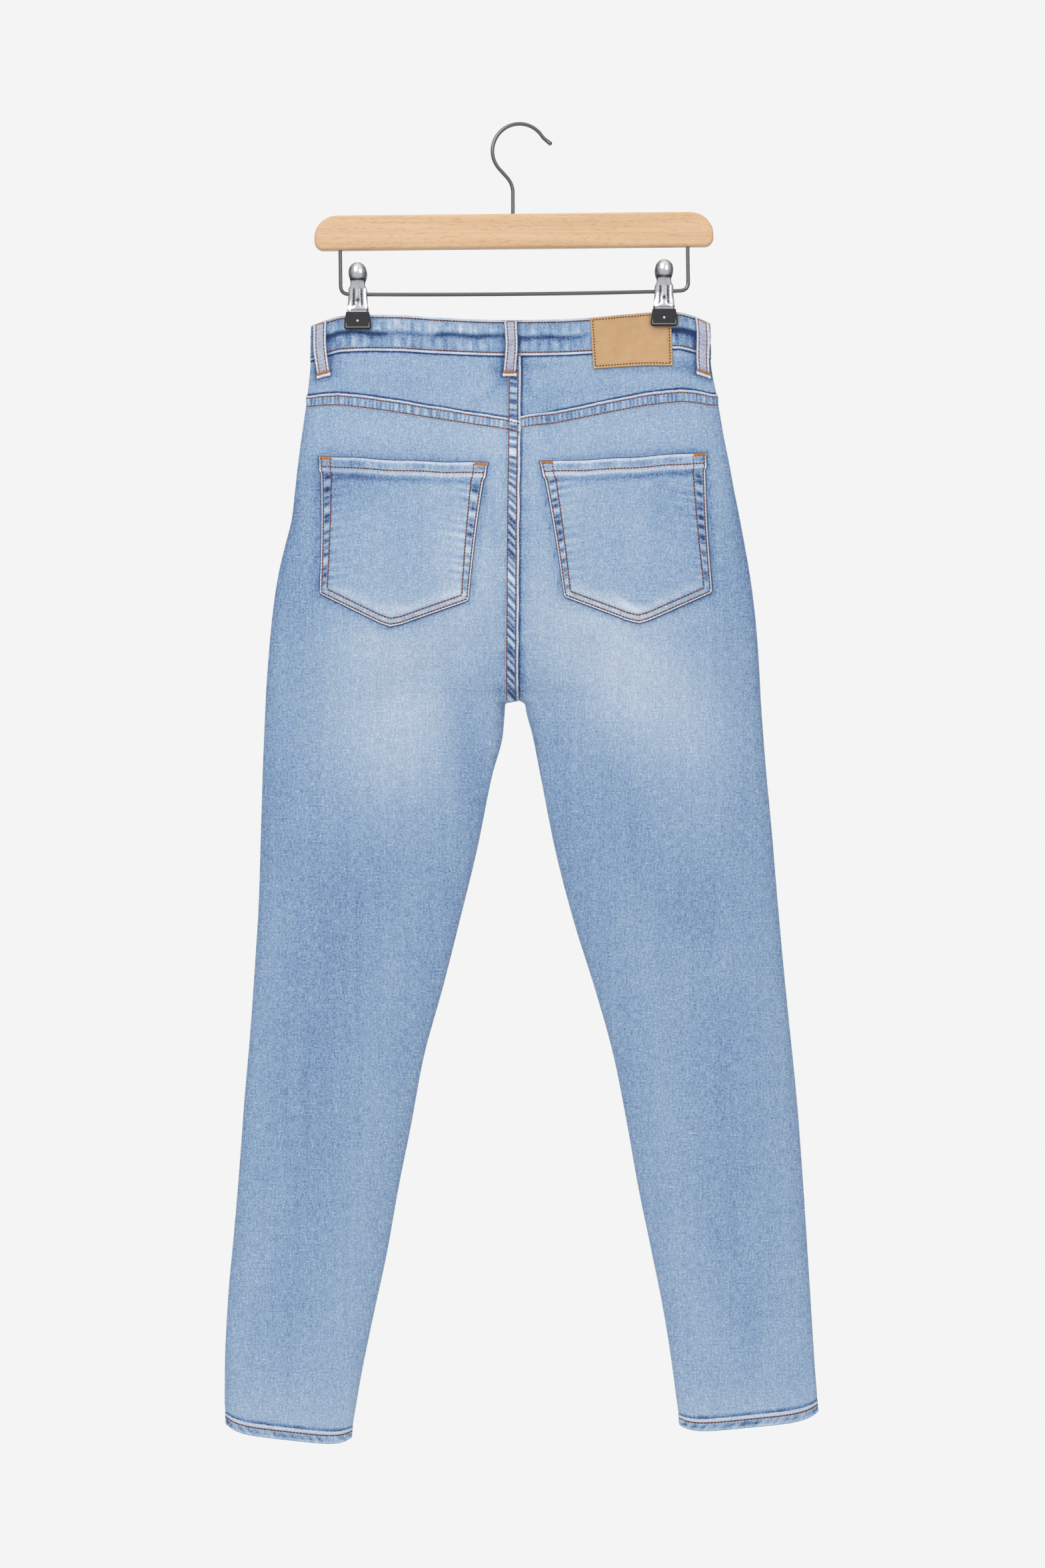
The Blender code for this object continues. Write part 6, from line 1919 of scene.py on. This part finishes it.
def clip_arm(name, x, z, outward_y, lean, made_of):
    """One pressed-metal arm: a domed top, a narrow neck, and two channels pressed down it."""
    heights = column(ARM[::-1], ARM_COLUMNS, "height")
    at = np.concatenate([np.linspace(27.6, 22.0, 16), np.linspace(21.5, -29.0, 70)])
    away, half_width, bulge = (
        curve_through(heights, column(ARM[::-1], ARM_COLUMNS, label), at)[:, None]
        for label in ("away", "half_width", "bulge")
    )
    u = np.sin(np.linspace(-np.pi / 2, np.pi / 2, 33))[None, :]
    at = at[:, None]
    dome = np.sqrt(np.clip(1.0 - ((at - 19.5) / 8.2) ** 2, 0.0, 1.0)) * (at > 11.5)
    channel = bump_at(np.abs(u), 0.42, 0.13) * smooth(at, -13.0, -10.0) * smooth(6.5 - at, 0.0, 3.0)
    eye = bump_at(u * half_width, 0.0, 1.6) * bump_at(at, -6.0, 2.2)
    far = away + lean * smooth(-at, 0.0, 16.0) - bulge * u**2
    far = far - 0.7 * channel - 0.5 * eye + 0.5 * dome * (1 - u**2)
    grid = np.stack(np.broadcast_arrays(x + half_width * u, outward_y * far, z + at), -1)
    inner = grid - np.array([0.0, outward_y * ARM_WALL * 0.8, 0.0])
    # The tone paints dark reflections into the chrome: in the channels, along the edges, at the neck and
    # foot, round the dome's rim, in a stripe down the face and at the eye.
    edge = smooth(np.abs(u), 0.80, 0.97) * (at < 13.0)
    shade = 0.42 - 0.5 * channel - 0.30 * edge
    shade = shade - 0.35 * bump_at(at, 12.4, 1.5) - 0.3 * bump_at(at, -14.5, 1.2)
    shade = shade - 0.35 * dome * smooth(np.hypot(u, (at - 19.5) / 8.2), 0.55, 0.95)
    shade = shade - 0.30 * bump_at(u, 0.15, 0.10) * bump_at(at, 1.0, 7.0) - 0.5 * eye
    return shell(name, grid, inner, made_of, shade, grid[..., ::2])


def clip_pad(name, x, z, outward_y, step, made_of, metal):
    """The rubber boot: narrower at its top, with a raised rim line and a small rivet."""
    width, depth, height = PAD_SIZE
    near = PINCHED + BAND_PROUD + 0.35 + step
    top = z + PAD_TOP
    u = np.sin(np.linspace(-np.pi / 2, np.pi / 2, 41))
    v = 0.5 - 0.5 * np.cos(np.linspace(0.0, np.pi, 37))
    u, v = np.meshgrid(u, v)
    half = width / 2 * (1.0 - PAD_TAPER * (1.0 - v) ** 1.4)
    corner = 3.4
    low = (1.0 - v) * height
    turn = corner - low
    squeeze = corner - np.sqrt(np.clip(corner**2 - turn**2, 0, None))
    half = half - np.where(turn > 0.0, squeeze, 0.0)
    rim = np.minimum((1 - np.abs(u)) * width / 2, np.minimum(low, height - low))
    crown = rounding(rim, 1.1)
    line = bump_at(rim, 1.9, 0.30) * smooth(height * 0.5 - low, 0.0, 5.0)
    across, down = x + half * u, top - v * height
    outer = np.stack([across, outward_y * (near + depth - 1.1 * crown + 0.3 * line), down], -1)
    inner = np.stack([across, outward_y * (near + 0.5 * crown), down], -1)
    # The tone paints a pale highlight along the raised rim line.
    made = shell(name, outer, inner, made_of, 0.5 + 0.7 * line, outer[..., ::2])
    rivet_head(name + "_rivet", x, outward_y, near + depth, top - height * 0.52, metal)
    return made


def rivet_head(name, x, outward_y, seat, z, made_of):
    """A small domed rivet head, its face towards outward_y."""
    radius, tall, sides, levels = 1.35, 0.8, 16, 6
    turns = np.linspace(0, 2 * np.pi, sides + 1)[:-1]
    rise = np.linspace(0.0, np.pi / 2, levels + 1)[:-1, None]
    rings = np.stack(np.broadcast_arrays(
        x + radius * np.cos(rise) * np.cos(turns),
        outward_y * (seat - 0.05 + tall * np.sin(rise)),
        z + radius * np.cos(rise) * np.sin(turns),
    ), -1)
    tip = np.array([x, outward_y * (seat - 0.05 + tall), z])
    index = np.arange(levels * sides).reshape(levels, sides)
    last = index[-1].tolist()
    faces = quads_round(index).tolist() + [index[0][::-1].tolist()]
    faces += [[a, b, levels * sides] for a, b in zip(last, last[1:] + last[:1])]
    hard_piece(name, np.concatenate([rings.reshape(-1, 3), tip[None]]), faces, made_of)


def clip_spring(name, x, z, made_of):
    """The coil round the rail that the arms turn on, with its two tails."""
    turns, wire, radius, half = 5.5, 0.6, 3.5, 4.2
    t = np.linspace(0.0, 1.0, 150)
    angle = 2 * np.pi * turns * t
    path = [x - half + 2 * half * t, radius * np.cos(angle), z + radius * np.sin(angle)]
    path = np.stack(path, -1)
    tangents = np.gradient(path, axis=0)
    tangents /= np.linalg.norm(tangents, axis=1, keepdims=True)
    spoke = np.stack([np.zeros(150), np.cos(angle), np.sin(angle)], -1)
    other = np.cross(tangents, spoke)
    ring = 2 * np.pi * np.arange(8) / 8
    cosines, sines = np.cos(ring)[None, :, None], np.sin(ring)[None, :, None]
    rings = path[:, None] + wire * (spoke[:, None] * cosines + other[:, None] * sines)
    return ringed(name, rings, made_of)


def clip(side, metal, wire, bright, rubber):
    """A clip on the rail. The right one's back arm and pad stand over the patch."""
    x = CLIP_X[side]
    z = rail_at(x)
    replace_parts(clip_spring(f"coil_{side}", x, z, wire), f"clip_{side}_spring")
    patch_step = PATCH_WALL + SEAT_GAP if side == "right" else 0.0
    for face, outward_y, step in (("back", -1.0, patch_step), ("front", 1.0, 0.0)):
        arm = clip_arm(f"arm_{side}_{face}", x, z, outward_y, step, metal)
        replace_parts(arm, f"clip_{side}_arm_{face}")
        pad = clip_pad(f"pad_{side}_{face}", x, z, outward_y, step, rubber, bright)
        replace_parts(pad, f"clip_{side}_pad_{face}")


def waist_button(metal):
    """A shank button: a rolled rim round a dished face."""
    seat = hip_moved("front", -7.0, BAND_HEIGHT / 2, BAND_PROUD)
    profile = ((0.05, 3.2), (1.4, 3.2), (1.6, 7.9), (1.9, 8.35), (2.3, 8.5), (2.8, 8.4), (3.2, 7.9),
               (3.35, 7.2), (3.3, 6.5), (3.05, 5.8), (2.9, 5.0), (2.95, 4.0), (3.2, 3.2),
               (3.45, 2.2), (3.55, 1.0))
    sides = 40
    turns = 2 * np.pi * np.arange(sides) / sides
    rings = np.array([
        [(seat[0] + r * math.cos(t), seat[1] + 0.1 + y, seat[2] + r * math.sin(t)) for t in turns]
        for y, r in profile
    ])
    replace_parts(ringed("button_shank", rings, metal), "waist_button")


# Stage, light and camera


def stage():
    """A pale round floor well below the hems, outside the main view."""
    mesh = bpy.data.meshes.new("floor")
    bm = bmesh.new()
    bmesh.ops.create_circle(bm, cap_ends=True, segments=96, radius=FLOOR_RADIUS)
    bm.to_mesh(mesh)
    bm.free()
    g = Graph("floor_paint")
    place = g.place()
    g.set(Base_Color=g.ramp(g.noise(place, 3.0), ((0.0, (225, 225, 226)), (1.0, (229, 229, 230)))))
    g.set(Roughness=0.9)
    mesh.materials.append(g.material)
    floor = bpy.data.objects.new("floor", mesh)
    floor.location = (0.0, 0.0, FLOOR_Z)
    bpy.context.scene.collection.objects.link(floor)


def area_light(name, place, target, size, watts):
    light = bpy.data.lights.new(name, "AREA")
    light.shape = "RECTANGLE"
    light.size, light.size_y = size
    light.energy = watts
    made = bpy.data.objects.new(name, light)
    made.location = place
    made.rotation_euler = (Vector(target) - Vector(place)).to_track_quat("-Z", "Y").to_euler()
    bpy.context.scene.collection.objects.link(made)


def world_light():
    """Even studio light, brighter from above, with darker sides; the backdrop is pale grey."""
    world = bpy.data.worlds.new("studio")
    bpy.context.scene.world = world
    world.use_nodes = True
    nodes, links = world.node_tree.nodes, world.node_tree.links
    nodes.clear()
    coords = nodes.new("ShaderNodeTexCoord")
    split = nodes.new("ShaderNodeSeparateXYZ")
    links.new(coords.outputs["Generated"], split.inputs[0])
    height = nodes.new("ShaderNodeValToRGB")
    rescale = nodes.new("ShaderNodeMapRange")
    rescale.inputs["From Min"].default_value = -1.0
    links.new(split.outputs["Z"], rescale.inputs["Value"])
    links.new(rescale.outputs[0], height.inputs[0])
    height.color_ramp.elements[0].color = (0.42, 0.42, 0.43, 1.0)
    height.color_ramp.elements[1].color = (0.95, 0.95, 0.95, 1.0)
    flank = nodes.new("ShaderNodeMath")
    flank.operation = "ABSOLUTE"
    links.new(split.outputs["X"], flank.inputs[0])
    sides = nodes.new("ShaderNodeValToRGB")
    links.new(flank.outputs[0], sides.inputs[0])
    for element, (place, shade) in zip(sides.color_ramp.elements, ((0.55, 1.0), (0.95, 0.45))):
        element.position = place
        element.color = (shade, shade, shade, 1.0)
    joined = nodes.new("ShaderNodeMix")
    joined.data_type, joined.blend_type = "RGBA", "MULTIPLY"
    joined.inputs[0].default_value = 1.0
    links.new(height.outputs["Color"], joined.inputs[6])
    links.new(sides.outputs["Color"], joined.inputs[7])
    lit, seen = nodes.new("ShaderNodeBackground"), nodes.new("ShaderNodeBackground")
    links.new(joined.outputs[2], lit.inputs["Color"])
    lit.inputs["Strength"].default_value = WORLD_STRENGTH
    seen.inputs["Color"].default_value = linear((244, 244, 244))
    path, mix, out = (
        nodes.new("ShaderNode" + kind) for kind in ("LightPath", "MixShader", "OutputWorld")
    )
    links.new(path.outputs["Is Camera Ray"], mix.inputs[0])
    links.new(lit.outputs[0], mix.inputs[1])
    links.new(seen.outputs[0], mix.inputs[2])
    links.new(mix.outputs[0], out.inputs["Surface"])


def lights():
    world_light()
    area_light("key", (-1.3, -2.6, 1.2), (0.0, 0.0, -0.5), (1.6, 1.6), KEY_WATTS)
    area_light("fill", (1.6, -2.6, 0.2), (0.0, 0.0, -0.6), (1.6, 2.0), FILL_WATTS)
    area_light("back_key", (1.2, 2.8, 1.0), (0.0, 0.0, -0.5), (1.6, 1.6), KEY_WATTS)
    area_light("back_fill", (-1.6, 2.6, 0.2), (0.0, 0.0, -0.6), (1.6, 2.0), FILL_WATTS)


def camera():
    data = bpy.data.cameras.new("camera")
    data.sensor_width = 36.0
    data.lens = data.sensor_width * CAMERA_AWAY / VIEW_HEIGHT
    data.clip_end = 50.0
    made = bpy.data.objects.new("camera", data)
    made.location = (VIEW_CENTRE[0], -CAMERA_AWAY, VIEW_CENTRE[1])
    made.rotation_euler = (math.pi / 2, 0.0, 0.0)
    bpy.context.scene.collection.objects.link(made)
    bpy.context.scene.camera = made
    bpy.context.scene.view_settings.view_transform = "Standard"


def dress():
    cloth_look = denim("washed_denim", INDIGO)
    loop_look = denim("loop_denim", LOOP_GREY, 0.004, 0.7)
    rust, orange, brown = (thread_material(name) for name in ("rust", "orange", "brown"))
    # The arms' chrome takes painted dark reflections from their tone.
    metal = chrome_material("bright_chrome", 0.06, (226, 227, 230), True)
    bright = chrome_material("rivet_chrome", 0.2)
    # The wire's chrome is made darker to paint in the dark surroundings that it reflects.
    wire = chrome_material("wire_chrome_painted_dark", 0.14, (126, 123, 128))
    rubber = rubber_material()
    fells = {
        side: fell_strip(f"fell_yoke_{side}", yoke_path(side), cloth_look, seed, 0.3, 0.50, 3.8)
        for side, seed in (("left", 81), ("right", 84))
    }
    centre = fell_strip("fell_centre", centre_path(), cloth_look, 87, 1.1, 1.0, 7.2, True)
    seams, pockets, tacks, loops, border = Thread(1), Thread(2), Thread(3), Thread(4), Thread(5)
    band = waistband_cloth(cloth_look)
    for i, row in enumerate(LOOPS):
        belt_loop(*row, loop_look, 91 + i)
    patch_bare(leather_material())
    fly_cloth(cloth_look)
    for side, seed in (("left", 101), ("right", 111)):
        back = back_leg(side, cloth_look)
        front = front_leg(side, cloth_look)
        top = yoke_cloth(side, cloth_look)
        pocket = pocket_cloth(side, cloth_look, seed)
        facing = facing_cloth(side, cloth_look)
        sew_pocket(pockets, tacks, side)
        clip(side, metal, wire, bright, rubber)
    sew_band(seams)
    sew_fells(seams)
    sew_hems(seams)
    sew_front(seams)
    sew_patch(border)
    sew_loops(loops, tacks)
    seams.build("stitches_seams", rust, "denim")
    pockets.build("stitches_pockets", rust, "denim")
    tacks.build("stitches_tacks", orange, "denim")
    loops.build("stitches_loops", rust, "loop_denim")
    border.build("stitches_patch", brown, "patch_leather")
    hook_wire(wire)
    rail_wire(wire)
    bar_wood(wood_material())
    waist_button(chrome_material("copper_button", 0.25, (176, 128, 98)))


camera()
lights()
stage()
dress()
